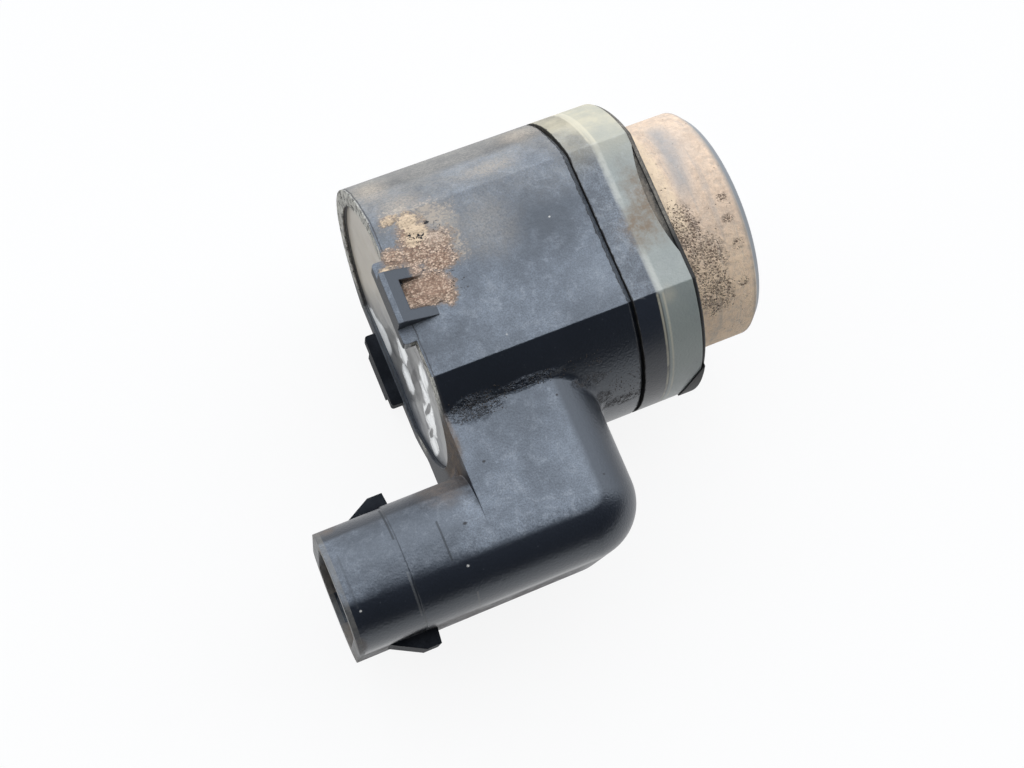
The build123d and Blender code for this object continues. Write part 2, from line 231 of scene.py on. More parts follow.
class Group(Bench):
    """A node group being made, with the sockets of its inputs in feeds."""

    def __init__(self, name: str, vectors: Iterable[str], values: Iterable[str]) -> None:
        """Opens the group.

        Args:
            name: the group's name.
            vectors: the names of its vector inputs.
            values: the names of its plain inputs.
        """
        super().__init__(bpy.data.node_groups.new(name, "ShaderNodeTree"))
        kinds = {**dict.fromkeys(vectors, "Vector"), **dict.fromkeys(values, "Float")}
        for label, kind in kinds.items():
            self.tree.interface.new_socket(label, in_out="INPUT", socket_type="NodeSocket" + kind)
        entry = self.tree.nodes.new("NodeGroupInput")
        self.feeds = {label: entry.outputs[label] for label in kinds}
        self.where = entry.outputs[0]

    def close(self, **made: Socket) -> Tree:
        """Adds the outputs and joins them.

        Args:
            made: the socket of each output, by the output's name.

        Returns:
            The finished group.
        """
        for label in made:
            self.tree.interface.new_socket(label, in_out="OUTPUT", socket_type="NodeSocketFloat")
        leave = self.tree.nodes.new("NodeGroupOutput")
        for label, socket in made.items():
            self.tree.links.new(socket, leave.inputs[label])
        return self.tree


class Effects:
    """The shader effects that several materials share, each a node group made at its first use."""

    @cached_property
    def patch(self) -> Tree:
        """A soft ragged spot round a centre, such as a stain or a dusty area.

        Returns:
            The node group.
        """
        group = Group("Patch", ("Vector", "Centre", "Reach"), ("Ragged", "Soft"))
        feeds = group.feeds
        apart = group.vector("SUBTRACT", group.where, feeds["Centre"])[0]
        scaled = group.vector("DIVIDE", apart, feeds["Reach"])[0]
        rough = group.noise(900.0, 6.0, 0.65)
        jag = group.times(group.math("SUBTRACT", rough, 0.5), feeds["Ragged"])
        far = group.math("ADD", group.vector("LENGTH", scaled)["Value"], jag)
        edge = group.math("SUBTRACT", 1.0, feeds["Soft"])
        return group.close(Mask=group.remap(far, edge, 1.0, 1.0, 0.0))

    @cached_property
    def band(self) -> Tree:
        """A stripe round one value of a coordinate.

        Returns:
            The node group.
        """
        group = Group("Band", (), ("Coordinate", "Position", "Half Width", "Soft"))
        feeds = group.feeds
        away = group.math("SUBTRACT", feeds["Coordinate"], feeds["Position"])
        away = group.math("ABSOLUTE", away)
        outer = group.math("ADD", feeds["Half Width"], feeds["Soft"])
        return group.close(Mask=group.remap(away, feeds["Half Width"], outer, 1.0, 0.0))

    @cached_property
    def grain(self) -> Tree:
        """The fine relief of a made surface, and a slow change of tone across it.

        Returns:
            The node group.
        """
        group = Group("Grain", ("Vector",), ("Scale",))
        scale = group.feeds["Scale"]
        cells = group.times(group.cells(scale, group.where)["Distance"], 0.4)
        return group.close(Height=group.math("ADD", group.noise(scale, 4.0, 0.6), cells),
                           Tone=group.cloud(160.0, 4.0, 0.6, 0.3, 0.7))

    @cached_property
    def settled_and_sheen(self) -> Tree:
        """A thin layer on faces turned upwards or tilted up towards +Y, cloudy and finely flecked:
        fallen dust, which on the glossy plastics also stands in for painted sheen.

        Returns:
            The node group.
        """
        group = Group("Settled", ("Vector",), ("Amount", "Level From", "Level To"))
        feeds, up = group.feeds, group.facing()
        level = group.math("ADD", up["Z"], group.times(group.most(up["Y"], 0.0), 0.4))
        level = group.remap(level, feeds["Level From"], feeds["Level To"])
        cloud = group.cloud(170.0, 5.0, 0.6, 0.34, 0.64, 0.42, 1.0)
        smear = group.cloud(900.0, 6.0, 0.72, 0.34, 0.64, 0.6, 1.0)
        fleck = group.cloud(8000.0, 4.0, 0.85, 0.38, 0.62, 0.45, 1.0)
        mask = group.times(level, group.times(cloud, group.times(smear, fleck)))
        return group.close(Mask=group.math("MULTIPLY", mask, feeds["Amount"], clamp=True))

    @cached_property
    def granules(self) -> Tree:
        """Grains of soil: a tone that changes from grain to grain, and their height.

        Returns:
            The node group.
        """
        group = Group("Granules", ("Vector",), ("Scale",))
        bent = group.vector("MULTIPLY", group.where, (0.6, 1.0, 0.8))[0]
        cells = group.cells(group.feeds["Scale"], bent)
        tone = group.add("SeparateColor", {0: cells["Color"]}).outputs[0]
        fine = group.cloud(3200.0, 5.0, 0.75, 0.3, 0.7, 0.0, 0.45)
        return group.close(Tone=group.math("ADD", group.times(tone, 0.55), fine),
                           Height=group.math("SUBTRACT", 1.0, cells["Distance"]))

    @cached_property
    def wrinkles(self) -> Tree:
        """Short crooked ridges, as where plastic or mud was smeared and set.

        Returns:
            The node group.
        """
        group = Group("Wrinkles", ("Vector",), ("Scale",))
        sway = group.add("TexNoise", {"Vector": group.where, "Scale": group.feeds["Scale"],
                                      "Detail": 3.0, "Distortion": 1.6})
        crest = group.math("ABSOLUTE", group.math("SUBTRACT", sway.outputs["Fac"], 0.5))
        line = group.remap(crest, 0.0, 0.05, 1.0, 0.0)
        return group.close(Mask=group.times(line, group.cloud(900.0, 3.0, 0.6, 0.44, 0.56)))

    @cached_property
    def specks(self) -> Tree:
        """Sparse small spots, such as grit or pits.

        Returns:
            The node group.
        """
        group = Group("Specks", ("Vector",), ("Scale", "Share", "Size"))
        feeds = group.feeds
        cells = group.cells(feeds["Scale"], group.where)
        pick = group.add("SeparateColor", {0: cells["Color"]}).outputs
        chosen = group.math("GREATER_THAN", pick[0], group.math("SUBTRACT", 1.0, feeds["Share"]))
        dot = group.remap(cells["Distance"], 0.0, group.times(pick[1], feeds["Size"]), 1.0, 0.0)
        return group.close(Mask=group.times(dot, chosen))

    @cached_property
    def scratches(self) -> Tree:
        """Hairline marks, broken along their length.

        Returns:
            The node group.
        """
        group = Group("Scratches", ("Vector",), ("Amount",))
        turned = group.add("Mapping", {"Vector": group.where, "Rotation": (0.4, 0.3, 0.9),
                                       "Scale": (180.0, 3200.0, 3200.0)}).outputs[0]
        lines = group.remap(group.noise(1.0, 2.0, 0.5, turned), 0.69, 0.76)
        broken = group.cloud(260.0, 3.0, 0.6, 0.52, 0.62)
        return group.close(Mask=group.times(lines, broken, group.feeds["Amount"]))

    @cached_property
    def worn(self) -> Tree:
        """The rub along sharp edges, broken by noise.

        Returns:
            The node group.
        """
        group = Group("Worn", ("Vector",), ("Radius",))
        plain = group.add("NewGeometry").outputs["Normal"]
        rounded = group.add("Bevel", {"Radius": group.feeds["Radius"]}, samples=4).outputs[0]
        edge = group.remap(group.vector("DOT_PRODUCT", plain, rounded)["Value"], 0.985, 0.86)
        return group.close(Mask=group.times(edge, group.cloud(1500.0, 6.0, 0.7, 0.4, 0.62)))


EFFECTS = Effects()


@dataclass(frozen=True)
class Spot:
    """A ragged spot on the surface, in millimetres."""

    centre: Place
    reach: Place
    share: float
    ragged: float
    soft: float


class Coat(Bench):
    """One material being made: its colour, roughness and relief are laid on layer by layer."""

    def __init__(self, name: str, colour: Colour, roughness: float) -> None:
        """Starts with a plain colour.

        Args:
            name: the material's name.
            colour: the linear base colour.
            roughness: the base roughness.
        """
        self.material = bpy.data.materials.new(name)
        self.material.use_nodes = True
        super().__init__(self.material.node_tree)
        self.shader = self.tree.nodes["Principled BSDF"]
        self.where = self.add("TexCoord").outputs["Object"]
        self.axes = self.add("SeparateXYZ", {0: self.where}).outputs
        self.colour: Feed = colour
        self.roughness: Feed = roughness
        self.height: Optional[Socket] = None

    def effect(self, tree: Tree, output: str = "Mask", **feeds: Feed) -> Socket:
        """Places a shared effect in this material.

        Args:
            tree: the effect's node group.
            output: which of its outputs is wanted.
            feeds: the inputs' values, with _ for a blank in a name.

        Returns:
            The wanted output's socket.
        """
        node = self.add("Group")
        node.node_tree = tree
        if "Vector" in node.inputs:
            self.feed(node.inputs["Vector"], self.where)
        for name, value in feeds.items():
            self.feed(node.inputs[name.replace("_", " ")], value)
        return node.outputs[output]

    def ramp(self, axis: str, low: float, high: float, start: float = 0.0) -> Socket:
        """A smooth rise to 1 between two places along an axis."""
        return self.remap(self.axes[axis], low * MM, high * MM, start)

    def within(self, axis: str, half: float, middle: float = 0.0) -> Socket:
        """The part of the piece that is no further than half from a place along an axis."""
        away = self.math("SUBTRACT", self.axes[axis], middle * MM) if middle else self.axes[axis]
        return self.math("LESS_THAN", self.math("ABSOLUTE", away), half * MM)

    def above(self, axis: str, place: float) -> Socket:
        """The part of the piece past a place along an axis."""
        return self.math("GREATER_THAN", self.axes[axis], place * MM)

    def below(self, axis: str, place: float) -> Socket:
        """The part of the piece short of a place along an axis."""
        return self.math("LESS_THAN", self.axes[axis], place * MM)

    def band(self, place: float, half: float, soft: float = 0.05, sway: float = 0.0) -> Socket:
        """A stripe across the X axis.

        Args:
            place: where its middle is.
            half: half of its width.
            soft: how far its edges fade.
            sway: how far its edges wander.

        Returns:
            The stripe's mask.
        """
        x = self.axes["X"]
        if sway:
            jitter = self.math("SUBTRACT", self.noise(1500.0, 5.0, 0.75), 0.5)
            x = self.math("ADD", x, self.times(jitter, sway * MM))
        return self.effect(EFFECTS.band, Coordinate=x, Position=place * MM, Half_Width=half * MM,
                           Soft=soft * MM)

    def spots(self, *names: str) -> Socket:
        """Sets of ragged spots as one mask.

        Args:
            names: the sets' names in SPOTS.

        Returns:
            The mask.
        """
        return self.most(*(
            self.times(self.effect(EFFECTS.patch, Centre=mm(*spot.centre), Reach=mm(*spot.reach),
                                   Ragged=spot.ragged, Soft=spot.soft), spot.share)
            for name in names for spot in SPOTS[name]))

    def loose(self, mask: Feed, tone: Feed, reach: float = 0.55) -> Socket:
        """Lets a soft mask break up into grains where it fades.

        Args:
            mask: the soft mask.
            tone: the grains' own tone, from 0 to 1.
            reach: how far the grains scatter into the soft part.

        Returns:
            The broken mask.
        """
        scatter = self.times(self.math("SUBTRACT", tone, 0.5), 2.0 * reach)
        scatter = self.times(scatter, self.remap(mask, 0.0, 0.12))
        return self.remap(self.math("ADD", mask, scatter), 0.22, 0.68)

    def film_and_sheen(self, amount: float, level_from: float = 0.955, level_to: float = 0.998) -> Socket:
        """The thin layer that lies on faces turned upwards: dust, and on the glossy plastics also
        painted sheen.
        """
        return self.effect(EFFECTS.settled_and_sheen, Amount=amount, Level_From=level_from,
                           Level_To=level_to)

    def lay(self, colour: Feed, roughness: Optional[float], *masks: Feed) -> None:
        """Lays a colour over what is there.

        Args:
            colour: the new layer's colour.
            roughness: its roughness, or None to keep what is there.
            masks: the masks that together say how much of it shows.
        """
        share = self.times(*masks)
        self.colour = self.mix(share, self.colour, colour)
        if roughness is not None:
            self.roughness = self.blend(share, self.roughness, roughness)

    def lift(self, depth: float, *masks: Feed) -> None:
        """Adds to the relief.

        Args:
            depth: the new layer's height in metres, or below zero for a hollow.
            masks: the masks that together say how much of it shows.
        """
        step = self.times(*masks, depth)
        self.height = step if self.height is None else self.math("ADD", self.height, step)

    def finish(self, **shader: Union[float, tuple[float, ...]]) -> Material:
        """Joins the layers to the shader.

        Args:
            shader: constants of the shader's own sockets, with _ for a blank.

        Returns:
            The material.
        """
        self.feed(self.shader.inputs["Base Color"], self.colour)
        self.feed(self.shader.inputs["Roughness"], self.roughness)
        for name, value in shader.items():
            self.feed(self.shader.inputs[name.replace("_", " ")], value)
        normal = self.add("Bevel", {"Radius": EDGE_RADIUS * MM}, samples=6).outputs[0]
        if self.height is not None:
            normal = self.add("Bump", {"Height": self.height, "Distance": 1.0, "Strength": 1.0,
                                       "Normal": normal}).outputs[0]
        self.feed(self.shader.inputs["Normal"], normal)
        return self.material


@dataclass(frozen=True)
class Finish:
    """A plain finish: two tones of one colour, with the relief of how it was made."""

    slot: str
    colour: Colour
    second: Colour
    roughness: float
    grain: Grain
    metallic: float = 0.0
    specular: float = 0.5
    tint: Colour = WHITE
    coating: tuple[float, float] = (0.0, 0.03)

    def base(self) -> Coat:
        """The coat with its tones and grain, before any dirt.

        Returns:
            The coat.
        """
        coat = Coat(self.slot, self.colour, self.roughness)
        scale, depth = self.grain.value
        coat.lay(self.second, None, coat.effect(EFFECTS.grain, "Tone", Scale=scale))
        coat.lift(depth, coat.effect(EFFECTS.grain, "Height", Scale=scale))
        return coat

    def dress(self, coat: Coat) -> None:
        """Lays on what has settled or was rubbed; a plain finish has none of it."""

    def material(self) -> Material:
        """The finished material.

        Returns:
            The material.
        """
        coat = self.base()
        self.dress(coat)
        weight, roughness = self.coating
        return coat.finish(Metallic=self.metallic, Specular_IOR_Level=self.specular,
                           Specular_Tint=self.tint, Coat_Weight=weight, Coat_Roughness=roughness)


@dataclass(frozen=True)
class DustyPlastic(Finish):
    """The housing's glossy black plastic, with a grey layer of dust that is also painted sheen,
    dust, soil stains, grime and marks.
    """

    film_and_sheen: Colour = (0.195, 0.222, 0.262)
    film_and_sheen_dim: Colour = (0.26, 0.29, 0.33)
    smudge: Colour = (0.34, 0.36, 0.39)
    speck: Colour = (0.10, 0.11, 0.125)
    dust: Colour = (0.36, 0.335, 0.295)
    dust_pale: Colour = (0.44, 0.40, 0.35)
    dust_inside: Colour = (0.21, 0.175, 0.14)
    sand: Colour = (0.47, 0.39, 0.30)
    ochre: Colour = (0.80, 0.62, 0.44)
    soil: Colour = (0.42, 0.275, 0.20)
    clay: Colour = (0.86, 0.66, 0.505)
    bed: Colour = (0.36, 0.275, 0.215)
    grime: Colour = (0.085, 0.070, 0.060)
    pit: Colour = (0.02, 0.016, 0.015)
    chalk: Colour = (0.64, 0.61, 0.54)
    tint: Colour = (0.84, 0.91, 1.0)

    def dress(self, coat: Coat) -> None:
        """Lays its layers on.

        Args:
            coat: the material being made.
        """
        for layer in (self.weather, self.stain, self.rim, self.soil_marks, self.mark):
            layer(coat)
        coat.lay((0.15, 0.15, 0.145), 0.6, coat.effect(EFFECTS.worn, Radius=0.14 * MM), 0.2)

    def weather(self, coat: Coat) -> None:
        """Lays the grey layer on level faces, dust that also serves as painted sheen, and the dust
        along the far side and in the socket.

        Args:
            coat: the material being made.
        """
        # Painted sheen: the grey-blue layer lightens the level faces as light from above would;
        # its thin and lighter spots vary that sheen.
        film_and_sheen = coat.times(coat.film_and_sheen(1.14), coat.but(coat.spots("film_and_sheen_thin")),
                          coat.ramp("Z", 4.5, 7.5))
        coat.lay(self.film_and_sheen, 0.62, film_and_sheen)
        coat.lay(self.film_and_sheen_dim, 0.62, coat.spots("film_and_sheen_dim"), film_and_sheen)
        coat.lay(self.smudge, 0.6, coat.effect(EFFECTS.wrinkles, Scale=300.0), film_and_sheen, 0.3)
        specks = coat.effect(EFFECTS.specks, Scale=3600.0, Share=0.14, Size=0.34)
        coat.lay(self.speck, 0.6, specks, coat.but(film_and_sheen), 0.5)
        cloud = coat.cloud(380.0, 7.0, 0.66, 0.3, 0.62, 0.45, 1.0)
        fleck = coat.cloud(5600.0, 5.0, 0.85, 0.36, 0.62, 0.3, 1.0)
        far = coat.add("MapRange", {0: coat.axes["Y"], 1: 2.6 * MM, 2: 10.6 * MM, 3: 0.0, 4: 0.98})
        tilt = coat.remap(coat.facing()["Z"], 0.0, 0.5, 0.4, 1.0)
        coat.lay(self.dust, 0.85, far.outputs[0], cloud, fleck, coat.but(coat.spots("dust_bare")),
                 tilt)
        inside = coat.times(coat.within("Y", 3.38, BARREL_Y), coat.within("Z", 7.1),
                            coat.below("X", -27.4))
        grain = coat.cloud(1500.0, 6.0, 0.75, 0.32, 0.62, 0.35, 1.0)
        coat.lay(self.dust_inside, 0.9, inside, grain, 0.85)
        coat.lay(self.dust_pale, 0.85, coat.spots("dust_middle"), fleck)
        coat.lay(self.sand, 0.9, coat.spots("sand"), fleck)

    def stain(self, coat: Coat) -> None:
        """Lays rough dirt where the arm leaves the body, in the cove, the groove and the mouth.

        Args:
            coat: the material being made.
        """
        ridges = coat.effect(EFFECTS.wrinkles, Scale=1900.0)
        corner = coat.spots("corner")
        coat.lay(self.pit, 0.45, corner, ridges, 0.9)
        coat.lift(-0.2 * MM, corner, ridges)
        coat.lift(0.32 * MM, corner, coat.noise(2600.0, 3.0, 0.6))
        brown = coat.times(coat.spots("brown"), coat.cloud(2600.0, 6.0, 0.8, 0.46, 0.6))
        coat.lay(self.grime, 0.85, brown)
        coat.lift(0.08 * MM, brown)
        cloud = coat.cloud(700.0, 6.0, 0.75, 0.34, 0.6, 0.35, 1.0)
        grit = coat.cloud(3600.0, 4.0, 0.8, 0.36, 0.62, 0.5, 1.0)
        cove = coat.spots("cove")
        coat.lay((0.175, 0.135, 0.105), 0.9, cove, cloud, grit)
        coat.lift(0.04 * MM, cove, grit)
        under = coat.times(coat.ramp("Z", 3.2, 1.2), coat.ramp("Y", -19.8, -21.0),
                           coat.ramp("X", -17.0, -23.0))
        coat.lay((0.12, 0.095, 0.075), 0.9, under, cloud, grit, 0.85)
        coat.lay((0.012, 0.010, 0.009), 0.8, coat.band(-11.70, 0.05, sway=0.5), 0.93)
        coat.lay((0.20, 0.185, 0.16), 0.8, coat.below("X", -37.9), cloud, 0.5)

    def rim(self, coat: Coat) -> None:
        """Wears the rear rim pale, with dark cracks, where the resin was poured.

        Args:
            coat: the material being made.
        """
        edge = coat.times(coat.ramp("X", -26.78, -26.86), coat.above("X", -27.3),
                          coat.within("Z", 10.395), coat.ramp("Y", -8.8, -7.0),
                          coat.ramp("Z", -9.2, -7.8))
        rough = coat.cloud(2400.0, 6.0, 0.78, 0.36, 0.56, 0.35, 1.0)
        coat.lay((0.05, 0.05, 0.052), 0.8, edge)
        coat.lay(self.chalk, 0.8, edge, rough, 0.95)
        coat.lay(self.pit, 0.8, coat.band(-26.73, 0.02, sway=0.3), coat.above("Y", -9.0),
                 coat.within("Z", 10.43), 0.75)
        coat.lay(self.pit, 0.7, edge, coat.effect(EFFECTS.wrinkles, Scale=700.0))
        coat.lift(0.06 * MM, edge, rough)

    def soil_marks(self, coat: Coat) -> None:
        """Paints the thin soil round the latch: ochre behind, brown beside and below it, with
        painted shade between its grains.

        Args:
            coat: the material being made.
        """
        tone, height = (coat.effect(EFFECTS.granules, output, Scale=9800.0)
                        for output in ("Tone", "Height"))
        earth = coat.mix(coat.remap(tone, 0.3, 0.85), self.soil, self.clay)
        halo = coat.spots("halo")
        coat.lay((0.40, 0.35, 0.30), 0.95, halo, 0.34)
        coat.lay((0.50, 0.42, 0.34), 0.95, coat.loose(coat.times(halo, 0.62), tone), 0.75)
        coat.lay(self.bed, 0.95, coat.remap(coat.spots("soil", "ochre"), 0.0, 0.62, 0.0, 0.85))
        brown = coat.loose(coat.spots("soil"), tone)
        coat.lay(earth, 0.95, brown, 0.93)
        # Painted shade between the soil's grains, together with the darkest grains' own tone.
        dark_grains_and_gap_shade = coat.most(coat.remap(tone, 0.27, 0.15), coat.remap(height, 0.56, 0.36))
        coat.lay((0.09, 0.06, 0.045), 0.95, brown, dark_grains_and_gap_shade, 0.55)
        coat.lay((0.70, 0.56, 0.45), 0.95, coat.spots("pink"), brown,
                 coat.remap(tone, 0.25, 0.5, 0.4, 1.0))
        coat.lay(self.soil, 0.95, coat.spots("pocket"))
        gold = coat.loose(coat.spots("ochre"), tone, 0.5)
        coat.lay(self.ochre, 0.95, gold, coat.remap(tone, 0.1, 0.5, 0.5, 1.0))
        holes = coat.times(coat.spots("soil_pits"), coat.remap(tone, 0.62, 0.38))
        coat.lay(self.pit, 0.9, coat.remap(holes, 0.12, 0.3))
        coat.lift(0.09 * MM, coat.most(brown, gold), tone)

    def mark(self, coat: Coat) -> None:
        """Draws the mould's joint lines, scratches, pits and bright specks.

        Args:
            coat: the material being made.
        """
        for line in BARREL_LINES:
            coat.lay(line.colour, 0.6, coat.band(line.x, 0.045, 0.06),
                     coat.within("Y", line.half_length, line.middle_y),
                     coat.above("Z", line.above_z), line.share)
        coat.lay((0.17, 0.18, 0.19), 0.5, coat.effect(EFFECTS.scratches, Amount=0.16))
        coat.lay((0.62, 0.60, 0.56), 0.7, coat.spots("bright"))
        coat.lay(self.pit, 0.8, coat.spots("dark"))


@dataclass(frozen=True)
class ShadedPlastic(Finish):
    """A shaded copy of the housing's plastic, without dust: painted shade, matt and nearly black,
    with a few specks and smears.
    """

    def dress(self, coat: Coat) -> None:
        """Lays its layers on.

        Args:
            coat: the material being made.
        """
        coat.lay((0.035, 0.04, 0.05), 0.7, coat.cloud(420.0, 6.0, 0.7, 0.42, 0.66), 0.35)
        specks = coat.effect(EFFECTS.specks, Scale=3600.0, Share=0.12, Size=0.34)
        coat.lay((0.13, 0.12, 0.11), 0.8, specks, 0.6)
        coat.lay((0.10, 0.105, 0.11), 0.5, coat.effect(EFFECTS.scratches, Amount=0.16))


@dataclass(frozen=True)
class CollarPlastic(Finish):
    """The collar's milky plastic: the spigot shows through its rear, up to a pale weld. Its grey
    layer on the level faces is dust and also painted sheen; its front notch has painted shade
    and dirt.
    """

    through: Colour = (0.018, 0.023, 0.034)
    film_and_sheen: Colour = (0.23, 0.26, 0.30)
    olive: Colour = (0.64, 0.575, 0.42)
    stripe: Colour = (0.62, 0.57, 0.44)
    dirt: Colour = (0.25, 0.195, 0.145)

    def dress(self, coat: Coat) -> None:
        """Lays its layers on.

        Args:
            coat: the material being made.
        """
        behind = coat.ramp("X", WELD_X, -9.42)
        coat.lay(self.through, 0.30, behind)
        cloud = coat.cloud(480.0, 6.0, 0.66, 0.3, 0.66, 0.5, 1.0)
        # Dust that is also painted sheen: blue-grey on the rear's level faces, grey on the
        # front's.
        coat.lay(self.film_and_sheen, 0.6, coat.film_and_sheen(1.3), behind)
        coat.lay((0.38, 0.395, 0.375), 0.6, coat.film_and_sheen(0.9), coat.but(behind))
        far = coat.ramp("Y", 3.2, 9.0)
        coat.lay(self.olive, 0.8, far, cloud, coat.blend(behind, 0.8, 0.72))
        coat.lay((0.44, 0.41, 0.34), 0.7, coat.spots("collar_edge"))
        level = coat.ramp("Z", 10.25, 10.38)
        self.weld(coat, far, level)
        grain = coat.cloud(2200.0, 6.0, 0.78, 0.36, 0.6, 0.4, 1.0)
        coat.lay(self.dirt, 0.9, coat.spots("collar_dirt"), grain)
        # Painted shade with dirt: the notch at the collar's front is darkened.
        coat.lay((0.06, 0.052, 0.048), 0.8, coat.spots("collar_notch_shade_and_dirt"))
        coat.lay((0.014, 0.012, 0.011), 0.8, coat.band(GROOVE_X, 0.02, sway=0.3), 0.9)
        coat.lay((0.48, 0.50, 0.51), 0.6, coat.effect(EFFECTS.wrinkles, Scale=300.0), level, 0.16)
        coat.lay((0.5, 0.49, 0.45), 0.6, coat.effect(EFFECTS.worn, Radius=0.14 * MM), 0.25)
        coat.lay((0.45, 0.45, 0.43), 0.6, coat.effect(EFFECTS.scratches, Amount=0.2))

    def weld(self, coat: Coat, far: Socket, level: Socket) -> None:
        """Draws the weld: two fine lines on the round sides, a broad pale one on the flat.

        Args:
            coat: the material being made.
            far: the mask of the collar's far side.
            level: the mask of its upper flat.
        """
        broken = coat.cloud(800.0, 4.0, 0.6, 0.34, 0.5, 0.4, 1.0)
        for place, share in ((-9.46, 0.62), (-9.02, 0.55)):
            coat.lay(self.stripe, 0.5, coat.band(place, 0.03, 0.1), broken, coat.but(level), share)
        coat.lay((0.60, 0.60, 0.55), 0.55, coat.band(-9.22, 0.16, 0.22), level,
                 coat.but(coat.spots("collar_bare")), broken, 0.5)
        coat.lay(self.stripe, 0.5, coat.band(WELD_X, 0.14, 0.2), far, 0.6)


@dataclass(frozen=True)
class DustySilicone(Finish):
    """The ring's black silicone, with grey-brown dust on what faces up."""

    dust: Colour = (0.27, 0.245, 0.21)

    def dress(self, coat: Coat) -> None:
        """Lays its layers on.

        Args:
            coat: the material being made.
        """
        along = coat.ramp("Y", -3.0, -1.2)
        grain = coat.cloud(2600.0, 5.0, 0.75, 0.3, 0.62, 0.35, 1.0)
        coat.lay(self.dust, 0.9, coat.film_and_sheen(1.6, 0.45, 0.93), along, grain)
        coat.lay((0.25, 0.215, 0.175), 0.9, coat.spots("tongue"), grain)
        coat.lift(0.03 * MM, along, grain)


@dataclass(frozen=True)
class DustyMetal(Finish):
    """The membrane cup's painted aluminium under tan dust, with pits, a rubbed rim and painted
    light on its near side.
    """

    tan: Colour = (0.80, 0.60, 0.44)
    pale: Colour = (0.80, 0.62, 0.47)
    bright: Colour = (0.84, 0.66, 0.47)
    painted_light_tan: Colour = (1.0, 0.76, 0.53)
    blue: Colour = (0.30, 0.315, 0.335)
    fleck: Colour = (0.13, 0.08, 0.055)

    def dress(self, coat: Coat) -> None:
        """Lays its layers on.

        Args:
            coat: the material being made.
        """
        grain = coat.cloud(1900.0, 6.0, 0.72, 0.3, 0.64)
        side = coat.ramp("X", -0.35, -0.9)
        tan = coat.mix(coat.times(coat.ramp("Y", -1.5, 6.5), 0.75), self.tan, self.pale)
        coat.lay(tan, 0.8, side, coat.blend(0.34, 1.0, grain))
        coat.lay(self.pale, 0.8, side, coat.cloud(210.0, 4.0, 0.55, 0.36, 0.62), 0.24)
        # Painted light: the near side is lifted to a bright tan, standing in for light falling
        # there.
        near = coat.ramp("Y", -1.5, -7.0)
        coat.lay(self.painted_light_tan, 0.8, side, near, coat.blend(0.6, 1.0, grain))
        smear = coat.cloud(1300.0, 7.0, 0.8, 0.42, 0.62)
        coat.lay((0.44, 0.32, 0.235), 0.8, side, smear, coat.blend(near, 0.42, 0.05))
        self.draw(coat, side, grain)
        haze = coat.spots("cup_haze")
        coat.lay((0.36, 0.36, 0.37), 0.7, side, haze, grain)
        strip = coat.times(coat.band(-5.5, 0.45, 0.5), coat.ramp("Y", -3.2, -1.6))
        coat.lay(self.bright, 0.9, strip, coat.blend(0.55, 1.0, grain))
        coat.lift(0.03 * MM, side, grain)
        self.pit(coat, side)
        patchy = coat.cloud(420.0, 5.0, 0.6, 0.4, 0.56, 0.3, 1.0)
        coat.lay((0.17, 0.175, 0.185), 0.5, coat.ramp("X", -0.85, -0.45), side, patchy, 0.55)
        coat.lay((0.12, 0.12, 0.125), 0.5, coat.effect(EFFECTS.worn, Radius=0.25 * MM), 0.25)

    def draw(self, coat: Coat, side: Socket, grain: Socket) -> None:
        """Lets the bluish paint through, in drawn lines and in a slanting band.

        Args:
            coat: the material being made.
            side: the mask of the cup's side.
            grain: the dust's grain.
        """
        turned = coat.add("Mapping", {"Vector": coat.where, "Scale": (2400.0, 180.0, 180.0)})
        drawn = coat.remap(coat.noise(1.0, 2.0, 0.5, turned.outputs[0]), 0.52, 0.7)
        coat.lay(self.blue, 0.7, side, drawn, 0.22)
        lie = coat.math("ADD", coat.axes["X"], coat.times(coat.axes["Y"], -0.12))
        band = coat.times(coat.remap(lie, -5.0 * MM, -4.2 * MM),
                          coat.remap(lie, -2.7 * MM, -4.0 * MM),
                          coat.ramp("Y", -1.2, 1.8), coat.ramp("Y", 7.6, 6.2))
        coat.lay(self.blue, 0.6, side, band, coat.blend(0.4, 1.0, grain), 0.7)

    def pit(self, coat: Coat, side: Socket) -> None:
        """Scatters the dark pits: close together towards the socket's side, a few elsewhere.

        Args:
            coat: the material being made.
            side: the mask of the cup's side.
        """
        large, small, thin = (coat.effect(EFFECTS.specks, Scale=scale, Share=share, Size=size)
                              for scale, share, size in ((4600.0, 1.0, 1.0), (7800.0, 0.9, 0.95),
                                                         (2900.0, 0.22, 0.34)))
        worms = coat.times(coat.effect(EFFECTS.wrinkles, Scale=3000.0), 0.95)
        cells = coat.most(large, worms, small)
        gate = coat.math("ADD", coat.spots("cup_dense"), coat.times(cells, 0.35))
        pits = coat.most(coat.times(coat.remap(gate, 0.34, 0.72), cells),
                         coat.times(thin, side, 0.8), coat.times(coat.spots("cup_marks"), cells))
        coat.lay(self.fleck, 0.9, pits, side, 0.9)
        coat.lift(-0.12 * MM, pits)


